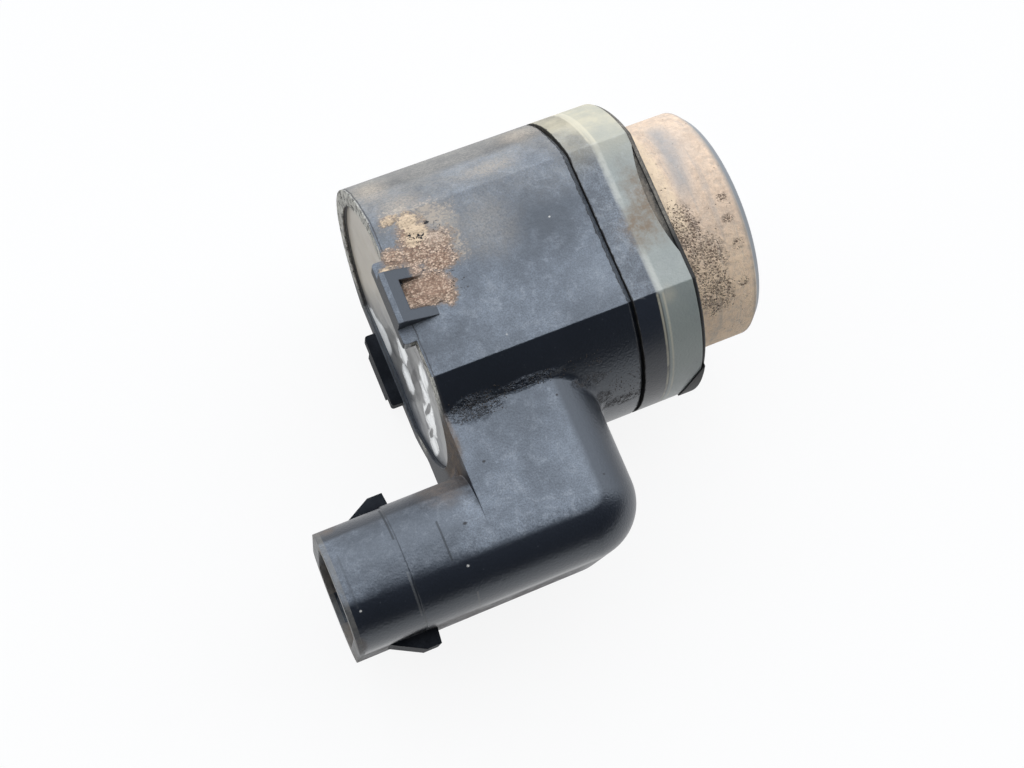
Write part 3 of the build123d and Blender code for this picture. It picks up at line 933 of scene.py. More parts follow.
@dataclass(frozen=True)
class CastResin(Finish):
    """The glossy potting resin, with painted reflections: smooth greyish tan on its far side, dark
    and blue-tinted on its near side and towards the bottom, and white painted highlights crossed
    by dark streaks.
    """

    painted_beige_reflection: Colour = (0.42, 0.37, 0.30)
    painted_dark_reflection: Colour = (0.045, 0.052, 0.066)
    painted_glint: Colour = (0.97, 0.96, 0.93)
    coating: tuple[float, float] = (0.15, 0.12)

    def dress(self, coat: Coat) -> None:
        """Lays its layers on.

        Args:
            coat: the material being made.
        """
        # Painted reflections: greyish tan on the far side, dark blue-tinted on the near side and
        # at the bottom.
        slope = coat.math("SUBTRACT", coat.axes["Y"], coat.times(coat.axes["Z"], -0.35))
        painted_far_reflection = coat.remap(slope, 0.6 * MM, 5.0 * MM)
        coat.lay(self.painted_beige_reflection, 0.5, painted_far_reflection)
        coat.lay(self.painted_dark_reflection, 0.4, coat.remap(slope, -4.2 * MM, -7.5 * MM), 0.9)
        coat.lay(self.painted_dark_reflection, 0.4, coat.ramp("Z", -6.5, -9.5), 0.85)
        cloud = coat.cloud(240.0, 3.0, 0.45, 0.36, 0.6)
        coat.lay((0.30, 0.29, 0.27), 0.3, cloud, coat.but(painted_far_reflection), 0.4)
        # Painted highlights: white streaks, with dark painted streaks across them.
        coat.lay(self.painted_glint, 0.25, coat.spots("painted_glints"))
        coat.lay((0.04, 0.038, 0.04), 0.5, coat.spots("painted_glint_gaps"))
        coat.lift(0.12 * MM, coat.noise(200.0, 2.0, 0.4))


@dataclass(frozen=True)
class Crust(DustyPlastic):
    """Dried soil, granular and matt, which thins out to the dusty plastic under it."""

    tint: Colour = WHITE

    def dress(self, coat: Coat) -> None:
        """Lays its layers on.

        Args:
            coat: the material being made.
        """
        coat.lay(self.film_and_sheen, 0.7, coat.film_and_sheen(1.0))
        self.soil_marks(coat)


@dataclass(frozen=True)
class Grit(Finish):
    """Single grains of dark dirt."""

    def dress(self, coat: Coat) -> None:
        """Lays its layers on.

        Args:
            coat: the material being made.
        """
        coat.lay(self.second, None, coat.effect(EFFECTS.granules, "Tone", Scale=5200.0))


@dataclass(frozen=True)
class Stroke:
    """A short line across the barrel, in millimetres."""

    x: float
    middle_y: float
    half_length: float
    above_z: float
    share: float
    colour: Colour


# A row is a spot: x, y, z of its centre, its reach along x, y, z, then its share, how ragged
# its edge is and how soft.
SPOTS: dict[str, tuple[Spot, ...]] = {name: tuple(
    Spot(row[:3], row[3:6], *row[6:]) for row in rows) for name, rows in {
    # Spots where the dust layer and its painted sheen are thinner, then spots where they are
    # lighter.
    "film_and_sheen_thin": (
        (-15.0, 2.2, 10.4, 4.2, 3.6, 3.0, 0.85, 1.2, 0.95),
        (-25.6, -4.0, 10.4, 3.4, 2.6, 2.0, 0.65, 1.2, 0.95),
        (-33.0, -15.5, 8.5, 6.5, 5.5, 4.0, 0.6, 0.6, 0.5),
    ),
    "film_and_sheen_dim": (
        (-12.9, -3.6, 10.4, 2.6, 3.0, 2.0, 0.6, 1.2, 0.95),
        (-18.0, -15.0, 8.5, 4.2, 4.6, 2.0, 0.35, 1.2, 0.95),
    ),
    "dust_bare": (
        (-13.8, 6.6, 9.2, 2.6, 2.4, 4.0, 0.6, 0.8, 0.9),
    ),
    "dust_middle": (
        (-19.3, 2.9, 10.4, 3.8, 3.4, 2.0, 0.5, 0.6, 0.95),
        (-21.8, 4.3, 10.4, 1.9, 1.7, 2.0, 0.7, 0.6, 0.9),
    ),
    "sand": (
        (-13.3, 9.9, 6.8, 2.6, 2.2, 3.4, 0.7, 0.5, 0.95),
        (-25.4, 9.3, 7.6, 1.9, 3.0, 3.4, 0.65, 0.5, 0.95),
        (-24.2, 6.8, 9.9, 2.6, 1.8, 1.8, 0.6, 0.5, 0.95),
        (-17.0, 7.4, 9.75, 3.4, 1.2, 1.5, 0.5, 0.5, 0.95),
    ),
    "corner": (
        (-24.6, -8.7, 8.4, 2.6, 1.1, 1.7, 1.0, 0.9, 0.7),
        (-20.4, -8.4, 8.8, 3.2, 0.5, 0.9, 0.8, 0.9, 0.7),
    ),
    "brown": (
        (-16.0, -9.7, 7.1, 1.7, 0.6, 1.4, 0.9, 0.9, 0.7),
        (-15.0, -10.9, 4.9, 1.2, 0.6, 1.4, 0.9, 0.9, 0.7),
        (-13.2, -11.35, 3.7, 2.4, 0.6, 0.9, 0.9, 1.0, 0.7),
        (-24.8, -8.9, 8.2, 1.9, 0.9, 1.4, 0.35, 0.9, 0.7),
    ),
    "cove": (
        (-28.7, -12.7, 6.6, 2.7, 3.0, 3.0, 0.8, 0.7, 0.8),
        (-28.3, -12.0, 0.0, 2.1, 1.8, 8.0, 0.75, 0.7, 0.7),
        (-26.9, -10.6, 4.0, 0.9, 2.9, 6.6, 1.0, 0.6, 0.5),
        (-26.9, -10.2, 8.6, 0.5, 2.4, 1.9, 1.0, 0.7, 0.6),
        (-30.8, -21.6, 2.6, 3.4, 0.9, 3.0, 0.6, 0.6, 0.8),
        (-37.5, -12.6, 4.8, 1.3, 0.9, 2.6, 0.9, 0.8, 0.5),
        (-38.2, -21.0, 5.6, 0.8, 0.9, 2.2, 0.8, 0.8, 0.5),
    ),
    "halo": (
        (-22.7, 5.0, 10.4, 2.8, 2.2, 1.6, 1.0, 1.0, 0.9),
        (-21.9, 2.6, 10.4, 1.6, 2.4, 1.6, 0.8, 1.0, 0.9),
        (-24.7, 5.7, 10.4, 2.4, 1.4, 1.6, 0.9, 1.0, 0.9),
    ),
    "soil": (
        (-24.3, 4.1, 10.4, 1.9, 1.7, 1.6, 1.0, 1.2, 0.9),
        (-26.2, 3.0, 10.4, 1.5, 1.2, 1.6, 0.9, 1.2, 0.9),
        (-24.4, 2.9, 10.4, 2.1, 1.6, 1.6, 1.0, 1.2, 0.8),
        (-22.9, 3.2, 10.4, 1.9, 1.5, 1.6, 0.9, 1.2, 0.9),
        (-23.2, 1.8, 10.4, 1.8, 1.4, 1.6, 1.0, 1.2, 0.8),
        (-24.3, 0.2, 10.2, 2.0, 1.7, 1.6, 1.0, 0.8, 0.6),
        (-25.4, 0.1, 10.3, 1.8, 1.5, 1.2, 1.0, 0.6, 0.6),
        (-25.0, 1.6, 10.8, 0.9, 0.9, 1.0, 0.9, 1.2, 0.8),
        (-23.5, -0.7, 10.4, 1.1, 1.3, 1.6, 0.9, 1.2, 0.9),
    ),
    "ochre": (
        (-25.4, 5.75, 10.4, 1.15, 0.6, 0.9, 0.9, 1.2, 0.9),
        (-24.3, 5.3, 10.4, 1.3, 1.0, 0.9, 1.0, 1.2, 0.9),
        (-24.0, 4.3, 10.4, 1.3, 1.1, 0.9, 1.0, 1.2, 0.9),
        (-24.4, 3.7, 10.4, 0.9, 0.8, 0.9, 0.9, 1.2, 0.9),
        (-27.0, 2.3, 10.4, 0.8, 0.7, 1.2, 0.6, 1.0, 0.9),
    ),
    "pink": (
        (-22.7, 3.7, 10.4, 1.7, 1.3, 1.6, 0.75, 0.9, 0.95),
    ),
    "pocket": (
        (-24.6, 0.1, 10.3, 2.2, 1.5, 1.6, 0.4, 0.6, 0.8),
    ),
    "soil_pits": (
        (-24.4, 4.1, 10.4, 0.5, 0.36, 0.6, 0.9, 1.2, 0.9),
        (-23.7, 3.9, 10.4, 0.6, 0.36, 0.6, 0.9, 1.2, 0.9),
        (-23.0, 4.75, 10.4, 0.34, 0.2, 0.6, 0.7, 1.2, 0.9),
    ),
    "bright": (
        (-29.3, -18.9, 8.2, 0.13, 0.11, 0.3, 0.9, 0.3, 0.5),
        (-37.3, -19.0, 8.2, 0.12, 0.11, 0.3, 0.8, 0.3, 0.5),
        (-14.5, 2.0, 10.4, 0.11, 0.09, 0.3, 0.9, 0.3, 0.5),
        (-20.8, -5.0, 10.4, 0.09, 0.09, 0.3, 0.5, 0.3, 0.5),
    ),
    "dark": (
        (-18.75, -10.0, 8.5, 0.14, 0.11, 0.4, 0.9, 0.4, 0.5),
        (-17.8, -16.5, 8.3, 0.13, 0.12, 0.4, 0.9, 0.4, 0.5),
        (-25.5, -12.55, 8.5, 0.16, 0.11, 0.4, 0.9, 0.4, 0.5),
        (-28.4, -16.1, 8.5, 0.2, 0.14, 0.4, 0.9, 0.4, 0.5),
    ),
    "collar_edge": (
        (-8.6, -6.3, 9.9, 0.9, 1.1, 0.9, 0.7, 0.8, 0.9),
    ),
    "collar_bare": (
        (-9.1, -1.0, 10.4, 0.9, 2.3, 1.5, 0.85, 0.5, 0.5),
    ),
    "collar_dirt": (
        (-8.5, -0.9, 10.3, 2.3, 2.4, 1.4, 1.0, 1.4, 0.9),
        (-7.5, 0.9, 10.3, 1.6, 4.2, 1.6, 1.0, 0.9, 0.85),
    ),
    # The notch at the collar's front, darkened with painted shade and dirt.
    "collar_notch_shade_and_dirt": (
        (-6.8, 0.3, 10.1, 0.45, 2.9, 0.8, 0.7, 0.8, 0.7),
    ),
    "tongue": (
        (-7.35, 0.7, 10.1, 0.75, 4.0, 1.0, 1.0, 0.5, 0.5),
    ),
    "cup_haze": (
        (-2.6, 4.6, 8.0, 1.8, 3.6, 2.6, 0.4, 0.7, 0.95),
    ),
    "cup_dense": (
        (-5.0, -2.0, 9.1, 1.7, 2.9, 2.0, 1.0, 0.9, 0.95),
        (-4.2, -4.6, 8.0, 2.6, 3.0, 2.8, 1.0, 0.9, 0.95),
        (-3.9, -7.0, 6.1, 2.3, 2.5, 2.8, 0.85, 0.9, 0.95),
    ),
    "cup_marks": (
        (-1.5, -0.8, 9.3, 0.55, 0.5, 0.5, 1.0, 0.9, 0.6),
        (-1.7, -2.4, 9.0, 0.55, 0.5, 0.5, 1.0, 0.9, 0.6),
        (-1.5, -4.35, 8.2, 0.6, 0.6, 0.5, 1.0, 0.9, 0.6),
        (-1.6, -6.8, 6.35, 0.6, 0.6, 0.6, 1.0, 0.9, 0.6),
    ),
    # The resin's painted white highlights, then the dark streaks painted across them.
    "painted_glints": (
        (-26.3, 5.4, -10.4, 2.0, 1.7, 1.4, 1.0, 0.9, 0.3),
        (-26.3, 3.9, -9.4, 2.0, 1.9, 1.6, 1.0, 0.9, 0.3),
        (-26.3, 2.3, -8.2, 2.0, 1.7, 1.6, 1.0, 0.9, 0.3),
        (-26.3, -0.6, -3.0, 2.0, 1.3, 1.7, 1.0, 1.1, 0.3),
        (-26.3, -2.3, -5.0, 2.0, 1.5, 1.9, 1.0, 1.1, 0.3),
        (-26.3, -4.1, 3.0, 2.0, 1.2, 2.1, 1.0, 1.1, 0.3),
        (-26.3, -5.2, 0.6, 2.0, 1.5, 2.2, 1.0, 1.1, 0.3),
        (-26.3, -6.6, -1.9, 2.0, 1.5, 2.3, 1.0, 1.1, 0.3),
        (-26.3, -8.0, -4.2, 2.0, 1.2, 2.1, 1.0, 1.1, 0.3),
    ),
    "painted_glint_gaps": (
        (-26.3, -3.0, -1.6, 2.0, 0.6, 2.2, 0.9, 1.2, 0.4),
        (-26.3, -5.9, -1.0, 2.0, 0.35, 2.4, 0.9, 1.2, 0.4),
        (-26.3, -7.3, -3.6, 2.0, 0.35, 1.6, 0.9, 1.2, 0.4),
        (-26.3, 0.9, -6.4, 2.0, 1.2, 0.7, 0.7, 1.2, 0.5),
    ),
}.items()}

DARK_LINE = (0.006, 0.007, 0.009)
BARREL_LINES = (Stroke(-33.4, -14.0, 1.3, 4.0, 0.9, DARK_LINE),
                Stroke(-33.4, -19.25, 1.55, 4.0, 0.28, (0.20, 0.20, 0.19)),
                Stroke(-30.2, -16.7, 1.5, 4.0, 0.85, DARK_LINE),
                Stroke(-37.4, -16.8, 2.0, 6.0, 0.4, (0.02, 0.022, 0.025)),
                Stroke(-29.2, -21.4, 0.7, 3.0, 0.3, (0.22, 0.2, 0.17)))

BLACK = ((0.0065, 0.009, 0.015), (0.0095, 0.0125, 0.02))
HOUSING_PLASTIC = DustyPlastic("housing_plastic", *BLACK, 0.30, Grain.MOULDED, specular=0.95)
# The shaded copy of the housing plastic: painted shade for the lower latch and the lugs.
SHADED_PLASTIC = ShadedPlastic("sheltered_plastic", (0.007, 0.009, 0.013),
                                     (0.012, 0.014, 0.019), 0.6, Grain.MOULDED, specular=0.1)
REAR_PLASTIC = DustyPlastic("rear_plastic", *BLACK, 0.45, Grain.MOULDED, specular=0.1)
COLLAR_PLASTIC = CollarPlastic("collar_plastic", (0.25, 0.275, 0.265), (0.30, 0.325, 0.30), 0.34,
                               Grain.MOULDED)
RING_SILICONE = DustySilicone("ring_silicone", (0.007, 0.007, 0.008), (0.012, 0.012, 0.012), 0.60,
                              Grain.CAST)
CUP_METAL = DustyMetal("cup_aluminium", (0.20, 0.215, 0.23), (0.25, 0.26, 0.28), 0.45, Grain.DRAWN)
POTTING_RESIN = CastResin("potting_resin", (0.085, 0.085, 0.088), (0.13, 0.128, 0.125), 0.45,
                          Grain.CAST)
SOIL = Crust("soil", *BLACK, 0.5, Grain.MOULDED, specular=0.3)
GRIT = Grit("grit", (0.018, 0.015, 0.014), (0.10, 0.08, 0.065), 0.6, Grain.CAST)

# The hidden nodes, each row with the nodes that share the finish.
INNER_FINISHES: dict[tuple[str, ...], Finish] = {
    ("piezo_disc",): Finish("piezo_ceramic", (0.48, 0.45, 0.36), (0.55, 0.5, 0.42), 0.5,
                            Grain.FIRED),
    ("damping_disc",): Finish("damping_felt", (0.25, 0.25, 0.24), (0.35, 0.34, 0.32), 0.95,
                              Grain.CAST),
    ("cup_fill",): Finish("fill_silicone", (0.62, 0.62, 0.60), (0.70, 0.70, 0.66), 0.35,
                          Grain.CAST),
    ("contact_carrier",): Finish("carrier_plastic", (0.02, 0.02, 0.022), (0.035, 0.035, 0.036),
                                 0.5, Grain.MOULDED),
    ("contact_pin_live", "contact_pin_ground"): Finish(
        "contact_metal", (0.70, 0.68, 0.62), (0.78, 0.76, 0.7), 0.25, Grain.PRESSED, 1.0),
    ("lead_live", "lead_ground", "transformer_winding"): Finish(
        "lead_copper", (0.66, 0.33, 0.19), (0.74, 0.42, 0.27), 0.3, Grain.PRESSED, 1.0),
    ("circuit_board",): Finish("board_laminate", (0.035, 0.16, 0.07), (0.05, 0.21, 0.10), 0.4,
                               Grain.PRESSED),
    ("control_chip", "protection_diode"): Finish(
        "chip_plastic", (0.018, 0.018, 0.019), (0.03, 0.03, 0.03), 0.55, Grain.MOULDED),
    ("transformer_core",): Finish("core_ferrite", (0.055, 0.052, 0.05), (0.085, 0.08, 0.075),
                                  0.65, Grain.FIRED),
    ("storage_capacitor",): Finish("capacitor_resin", (0.62, 0.36, 0.07), (0.72, 0.44, 0.11),
                                   0.45, Grain.MOULDED),
    ("chip_capacitors",): Finish("chip_ceramic", (0.34, 0.24, 0.15), (0.42, 0.31, 0.2), 0.5,
                                 Grain.FIRED),
    ("chip_resistors",): Finish("resistor_ceramic", (0.03, 0.03, 0.035), (0.06, 0.06, 0.065),
                                0.45, Grain.FIRED),
    ("terminal_lower", "terminal_middle", "terminal_upper"): Finish(
        "terminal_metal", (0.72, 0.70, 0.66), (0.8, 0.78, 0.74), 0.28, Grain.PRESSED, 1.0),
    ("potting_compound",): POTTING_RESIN,
}


class Workshop:
    """Turns meshes into objects and into pieces of the sensor."""

    merge_distance: float = 0.002
    sharp_angle: float = 24.0
    smooth_angle: float = 180.0

    @staticmethod
    def link(name: str, mesh: Mesh, material: Material) -> Piece:
        """Puts a mesh in the scene.

        Args:
            name: the object's name.
            mesh: its mesh, in the frame, which is used up.
            material: its material.

        Returns:
            The object.
        """
        data = bpy.data.meshes.new(name)
        mesh.to_mesh(data)
        mesh.free()
        data.materials.append(material)
        item = bpy.data.objects.new(name, data)
        bpy.context.scene.collection.objects.link(item)
        return item

    @classmethod
    def place(cls, name: str, mesh: Mesh, material: Material,
              slot: str) -> Piece:
        """Makes a piece of the sensor from a mesh.

        Args:
            name: the piece's name.
            mesh: its mesh, in the frame, which is used up.
            material: its material.
            slot: not used.

        Returns:
            The piece.
        """
        piece = cls.link(name, mesh, material)
        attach(piece, "root")
        LOG.info("%s: %d faces", name, len(piece.data.polygons))
        return piece

    @classmethod
    def merged(cls, node: str) -> Mesh:
        """A CAD node's mesh with its loose triangles joined.

        Args:
            node: the node's name.

        Returns:
            The joined copy.
        """
        mesh = bmesh.new()
        mesh.from_mesh(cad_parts[node].data)
        bmesh.ops.remove_doubles(mesh, verts=mesh.verts, dist=cls.merge_distance * MM)
        return mesh

    @staticmethod
    def smooth(mesh: Mesh, sharp: float) -> None:
        """Shades a mesh smooth, apart from edges that turn sharply.

        Args:
            mesh: the mesh.
            sharp: the angle in degrees from which an edge stays sharp.
        """
        for face in mesh.faces:
            face.smooth = True
        for edge in mesh.edges:
            if len(edge.link_faces) == 2:
                edge.smooth = edge.calc_face_angle(0.0) < math.radians(sharp)

    @classmethod
    def refine(cls, node: str, finish: Finish) -> Piece:
        """Stands a smooth copy in for a CAD node.

        Args:
            node: the node's name.
            finish: the copy's finish.

        Returns:
            The copy.
        """
        mesh = cls.merged(node)
        cls.smooth(mesh, cls.sharp_angle)
        piece = cls.place(f"{node}_skin", mesh, finish.material(), finish.slot)
        piece.modifiers.new("even_normals", "WEIGHTED_NORMAL").keep_sharp = True
        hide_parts(node)
        return piece


@dataclass
class Shell:
    """The black housing with the collar, the ring and the cup in front of it."""

    finishes: dict[str, Finish] = field(default_factory=lambda: {
        "housing": HOUSING_PLASTIC, "front_collar": COLLAR_PLASTIC,
        "decoupling_ring": RING_SILICONE, "membrane_cup": CUP_METAL,
    })
    latch_corners: tuple[tuple[float, float], ...] = ((-24.0, -10.45), (REAR_X, -8.6))
    lug_start: float = 4.7
    lug_half: float = 2.4
    lug_front: float = -31.5
    rear_span: tuple[float, float] = (-29.5, -26.0)
    rear_lean: float = -0.6

    def build(self) -> list[Piece]:
        """Makes a refined copy of each outer part.

        Returns:
            The copies.
        """
        made = {node: Workshop.refine(node, finish) for node, finish in self.finishes.items()}
        self.give_shaded_plastic(made["housing"])
        return list(made.values())

    def give_shaded_plastic(self, housing: Piece) -> None:
        """Gives the lower latch and the barrel's lugs the shaded copy of the plastic, painted
        shade that also leaves them free of dust, and leaves the rear faces matt.

        Args:
            housing: the housing's copy.
        """
        for finish in (SHADED_PLASTIC, REAR_PLASTIC):
            housing.data.materials.append(finish.material())
        for face in housing.data.polygons:
            x, y, z = face.center / MM
            latch = any(x < front and z < top for front, top in self.latch_corners)
            lug = (abs(y - BARREL_Y) > self.lug_start and abs(z) < self.lug_half
                   and x < self.lug_front)
            # Painted shade: the lower latch and the lugs take the darker, matt copy of the
            # plastic.
            if latch or lug:
                face.material_index = 1
            elif face.normal.x < self.rear_lean and self.rear_span[0] < x < self.rear_span[1]:
                face.material_index = 2


@dataclass
class Potting:
    """The resin in the housing's rear, with the ripples it set with."""

    radius: float = 10.66
    flat: float = 9.06
    edge_x: float = -26.45
    middle_x: float = -26.03
    cover: float = 0.12
    ripple: float = 0.16
    calm_edge: float = 3.0
    cells: int = 120

    def build(self) -> Piece:
        """Makes the rippled surface over the CAD resin.

        Returns:
            The surface.
        """
        mesh = bmesh.new()
        bmesh.ops.create_grid(mesh, x_segments=self.cells, y_segments=self.cells, size=1.0)
        for vert in mesh.verts:
            vert.co = self.spot(vert.co.x, vert.co.y)
        bmesh.ops.recalc_face_normals(mesh, faces=mesh.faces)
        if sum(face.normal.x for face in mesh.faces) > 0:
            bmesh.ops.reverse_faces(mesh, faces=mesh.faces)
        Workshop.smooth(mesh, Workshop.smooth_angle)
        return Workshop.place("resin_surface", mesh, POTTING_RESIN.material(), POTTING_RESIN.slot)

    def spot(self, across: float, up: float) -> Vector:
        """A place on the surface.

        Args:
            across: the share of the chord, from -1 to 1.
            up: the share of the height between the flats, from -1 to 1.

        Returns:
            The place in the frame.
        """
        z = up * self.flat
        y = across * math.sqrt(self.radius ** 2 - z ** 2)
        out = (y * y + z * z) / self.radius ** 2
        rim = min(1.0, self.calm_edge * (1.0 - abs(across)), self.calm_edge * (1.0 - abs(up)))
        wave = noise.noise(Vector((y * 0.28, z * 0.5, 3.1))) + 0.5 * noise.noise(
            Vector((y * 0.7, z * 0.9, 7.7)))
        x = self.middle_x + (self.edge_x - self.middle_x) * out
        return mm(x - self.cover - self.ripple * (0.5 + wave) * rim, y, z)


@dataclass
class Dirt:
    """The dried soil: a crust in and round the upper latch's pocket, and grit in the corners."""

    low: tuple[float, float] = (-27.6, -2.2)
    high: tuple[float, float] = (-20.4, 6.2)
    cell: float = 0.055
    sunk: float = 0.01
    deepest: float = 0.02
    thickness: float = 0.16
    pocket_x: tuple[float, float] = (-26.6, -23.9)
    pocket_half: float = 1.13
    pocket_fill: float = 0.10
    pit_depth: float = 0.1
    roughness: float = 0.045
    grain_count: int = 520
    grain_size: tuple[float, float] = (0.025, 0.06)
    grain_zones: tuple[tuple[tuple[float, float], tuple[float, float], float], ...] = (
        ((-26.4, -22.4), (-9.6, -7.8), 0.4), ((-22.4, -14.6), (-8.9, -8.1), 0.2),
        ((-14.4, -11.8), (-11.5, -9.6), 0.15), ((-24.6, -22.0), (-1.2, 4.6), 0.25))
    drop_height: float = 30.0
    seed: int = 11

    def build(self) -> list[Piece]:
        """Makes the crust and the grit.

        Returns:
            The two pieces.
        """
        return [self.crust(SOIL.material()), self.grit(GRIT.material())]

    @staticmethod
    def apart(x: float, y: float, *names: str) -> float:
        """How far a place is from the nearest spot: 0 at a centre and 1 at the end of its reach.

        Args:
            x: the place along the sensor axis, in millimetres.
            y: the place across it, in millimetres.
            names: the sets of spots.

        Returns:
            The distance, as a share of the spot's reach.
        """
        return min(math.hypot((x - spot.centre[0]) / spot.reach[0],
                              (y - spot.centre[1]) / spot.reach[1])
                   for name in names for spot in SPOTS[name])

    def height(self, x: float, y: float) -> float:
        """Height of the crust over the flat, below zero where there is none.

        Args:
            x: the place along the sensor axis, in millimetres.
            y: the place across it, in millimetres.

        Returns:
            The height in millimetres.
        """
        rough = noise.fractal(Vector((x * 1.3, y * 1.3, 0.4)), 1.0, 2.0, 5)
        fine = noise.noise(Vector((x * 9.0, y * 9.0, 2.0)))
        near = 0.55 - self.apart(x, y, "ochre", "soil")
        thin = self.thickness * min(near + 0.06 * rough, 0.5)
        in_pocket = self.pocket_x[0] < x < self.pocket_x[1] and abs(y) < self.pocket_half
        fill = self.pocket_fill + 0.1 * rough if in_pocket else -1.0
        pit = max(0.0, 1.0 - self.apart(x, y, "soil_pits"))
        deep = max(thin, fill) - self.pit_depth * pit
        return deep + self.roughness * fine * min(1.0, max(0.0, deep * 14.0))

    def crust(self, material: Material) -> Piece:
        """The crust on the upper flat.

        Args:
            material: the soil's material.

        Returns:
            The piece.
        """
        mesh = bmesh.new()
        span_x, span_y = self.high[0] - self.low[0], self.high[1] - self.low[1]
        bmesh.ops.create_grid(mesh, x_segments=int(span_x / self.cell),
                              y_segments=int(span_y / self.cell), size=0.5)
        bare = set()
        for vert in mesh.verts:
            x = self.low[0] + (vert.co.x + 0.5) * span_x
            y = self.low[1] + (vert.co.y + 0.5) * span_y
            rise = self.height(x, y)
            vert.co = mm(x, y, FLAT_Z + rise - self.sunk)
            if rise < 0.0:
                bare.add(vert)
        empty = [face for face in mesh.faces if all(vert in bare for vert in face.verts)]
        bmesh.ops.delete(mesh, geom=empty, context="FACES")
        for vert in mesh.verts:
            vert.co.z = max(vert.co.z, (FLAT_Z - self.deepest) * MM)
        Workshop.smooth(mesh, Workshop.smooth_angle)
        return Workshop.place("soil_crust", mesh, material, HOUSING_PLASTIC.slot)

    def grit(self, material: Material) -> Piece:
        """Loose grains stuck in the corners between the arm and the body, and by the latch.

        Args:
            material: the grains' material.

        Returns:
            The piece.
        """
        rng = random.Random(self.seed)
        skin = Workshop.merged("housing")
        tree = BVHTree.FromBMesh(skin)
        skin.free()
        mesh = bmesh.new()
        for x_range, y_range, share in self.grain_zones:
            for _ in range(int(self.grain_count * share)):
                start = mm(rng.uniform(*x_range), rng.uniform(*y_range), self.drop_height)
                hit = tree.ray_cast(start, Vector((0.0, 0.0, -1.0)))[0]
                if hit is None:
                    continue
                size = rng.uniform(*self.grain_size) * MM
                turn = Matrix.Rotation(rng.uniform(0.0, 3.0), 4, Vector((rng.random(), 0.5, 1.0)))
                flat = Matrix.Diagonal((1.0, rng.uniform(0.6, 1.0), rng.uniform(0.5, 0.9), 1.0))
                bmesh.ops.create_icosphere(mesh, subdivisions=1, radius=size,
                                           matrix=Matrix.Translation(hit) @ turn @ flat)
        return Workshop.place("grit", mesh, material, HOUSING_PLASTIC.slot)


class Inside:
    """The parts hidden in the resin and the cup, and the terminals in the socket."""

    @staticmethod
    def dress() -> None:
        """Gives each of these CAD nodes its finish."""
        for nodes, finish in INNER_FINISHES.items():
            material = finish.material()
            for node in nodes:
                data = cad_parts[node].data
                data.materials.clear()
                data.materials.append(material)
                LOG.info("%s: %s", node, material.name)


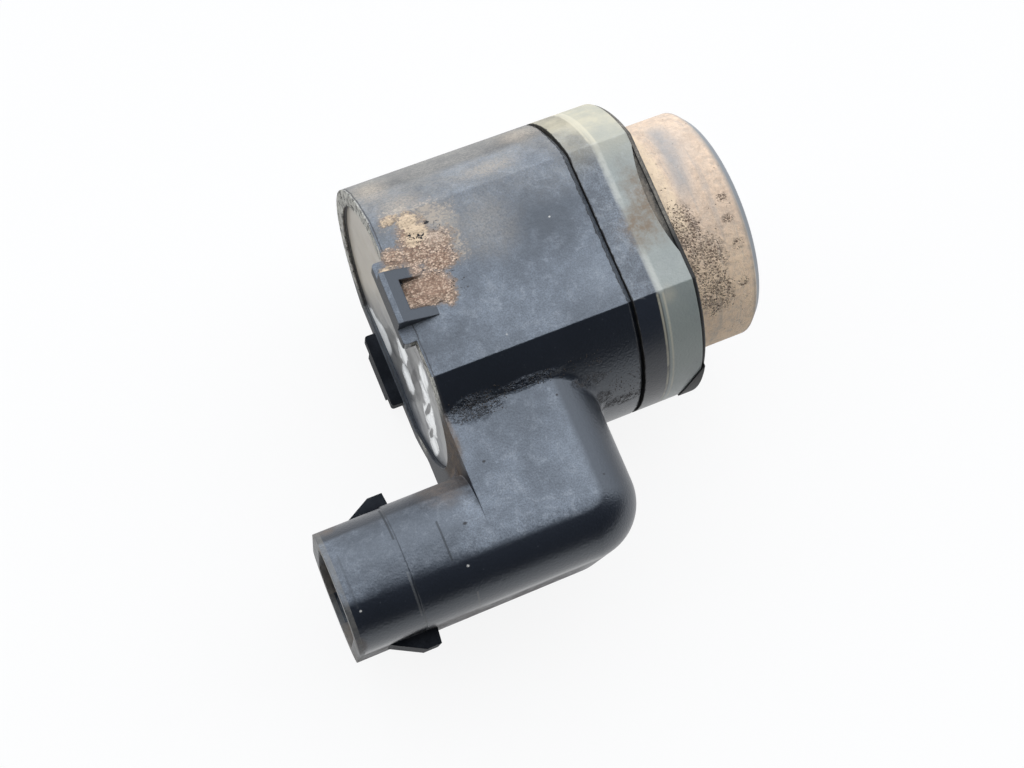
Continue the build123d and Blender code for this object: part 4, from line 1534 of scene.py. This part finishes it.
@dataclass
class Studio:
    """The pale floor, the soft light from one side and the camera."""

    eye: Place = (-43.075, -27.112, 115.642)
    aim: Place = (0.1948, 0.1712, -0.9658)
    right: Place = (0.9153, -0.3856, 0.1162)
    lens: float = 54.70
    film_width: float = 36.0
    nearest: float = 5.0
    floor_z: float = -11.92
    floor_size: float = 1400.0
    floor_colour: Colour = (0.86, 0.865, 0.875)
    floor_lift: float = 0.885
    light_colour: Colour = (0.93, 0.97, 1.02)
    dark_sky: float = 0.10
    low_sky: float = 1.25
    high_sky: float = 2.3

    def build(self) -> None:
        """Sets up everything round the object."""
        self.camera()
        self.floor()
        self.lights()

    def camera(self) -> None:
        """Places the camera where the photograph was taken from."""
        data = bpy.data.cameras.new("camera")
        data.sensor_width = self.film_width
        data.lens = self.lens
        data.clip_start = self.nearest * MM
        camera = bpy.data.objects.new("camera", data)
        ahead = Vector(self.aim).normalized()
        across = Vector(self.right).normalized()
        turn = Matrix((across, across.cross(ahead), -ahead)).transposed().to_4x4()
        camera.matrix_world = Matrix.Translation(mm(*self.eye)) @ turn
        bpy.context.scene.collection.objects.link(camera)
        bpy.context.scene.camera = camera

    def floor(self) -> None:
        """Lays the pale floor that takes the object's shadow."""
        mesh = bmesh.new()
        bmesh.ops.create_grid(mesh, x_segments=2, y_segments=2, size=self.floor_size / 2 * MM,
                              matrix=Matrix.Translation(mm(0.0, 0.0, self.floor_z)))
        Workshop.link("floor", mesh, self.paper())

    def paper(self) -> Material:
        """The floor's pale matt paper, lifted towards white for what looks at it.

        Returns:
            The material.
        """
        material = bpy.data.materials.new("floor_paper")
        material.use_nodes = True
        bench = Bench(material.node_tree)
        shader = bench.tree.nodes["Principled BSDF"]
        bench.where = bench.add("TexCoord").outputs["Object"]
        tone = bench.cloud(60.0, 5.0, 0.6, 0.2, 0.8)
        darker = tuple(0.985 * value for value in self.floor_colour)
        for name, value in (("Base Color", bench.mix(tone, darker, self.floor_colour)),
                            ("Roughness", 0.9), ("Specular IOR Level", 0.1)):
            bench.feed(shader.inputs[name], value)
        path = bench.add("LightPath").outputs
        seen = bench.math("MAXIMUM", path["Is Camera Ray"],
                          bench.most(path["Is Glossy Ray"], path["Is Transmission Ray"]))
        self.whiten(bench, "Emission", bench.times(seen, self.floor_lift), shader.outputs[0],
                    "Material Output")
        return material

    def lights(self) -> None:
        """Lights the room from one broad side, as a wide window does, and leaves the other dim."""
        world = bpy.data.worlds.new("room")
        world.use_nodes = True
        bench = Bench(world.node_tree)
        look = bench.add("SeparateXYZ", {0: bench.add("TexCoord").outputs["Generated"]}).outputs
        slant = bench.times(bench.math("SUBTRACT", look["X"], 0.43), 0.25)
        lit = bench.remap(bench.math("ADD", look["Y"], slant), -0.20, -0.02)
        level = bench.remap(look["Z"], 0.0, 0.7, self.low_sky, self.high_sky)
        extra = bench.times(lit, bench.math("SUBTRACT", level, self.dark_sky))
        back = bench.tree.nodes["Background"]
        bench.feed(back.inputs["Color"], self.light_colour)
        bench.feed(back.inputs["Strength"], bench.math("ADD", self.dark_sky, extra))
        path = bench.add("LightPath").outputs
        seen = bench.most(path["Is Camera Ray"], path["Is Transmission Ray"])
        self.whiten(bench, "Background", seen, back.outputs[0], "World Output")
        bpy.context.scene.world = world

    @staticmethod
    def whiten(bench: Bench, kind: str, share: Feed, shaded: Socket, end: str) -> None:
        """Mixes plain white into what a tree gives out.

        Args:
            bench: the tree.
            kind: the shader that gives the white.
            share: how much of it shows.
            shaded: what it is mixed into.
            end: the name of the tree's output node.
        """
        white = bench.add(kind, {"Color": WHITE, "Strength": 1.0}).outputs[0]
        mixed = bench.add("MixShader", {0: share, 1: shaded, 2: white}).outputs[0]
        bench.feed(bench.tree.nodes[end].inputs["Surface"], mixed)


def main() -> None:
    """Builds the studio and the object, piece by piece."""
    logging.basicConfig(level=logging.INFO, format="%(message)s")
    bpy.context.scene.view_settings.view_transform = "Standard"
    Studio().build()
    Inside.dress()
    Shell().build()
    Potting().build()
    Dirt().build()


if __name__ == "__main__":
    main()
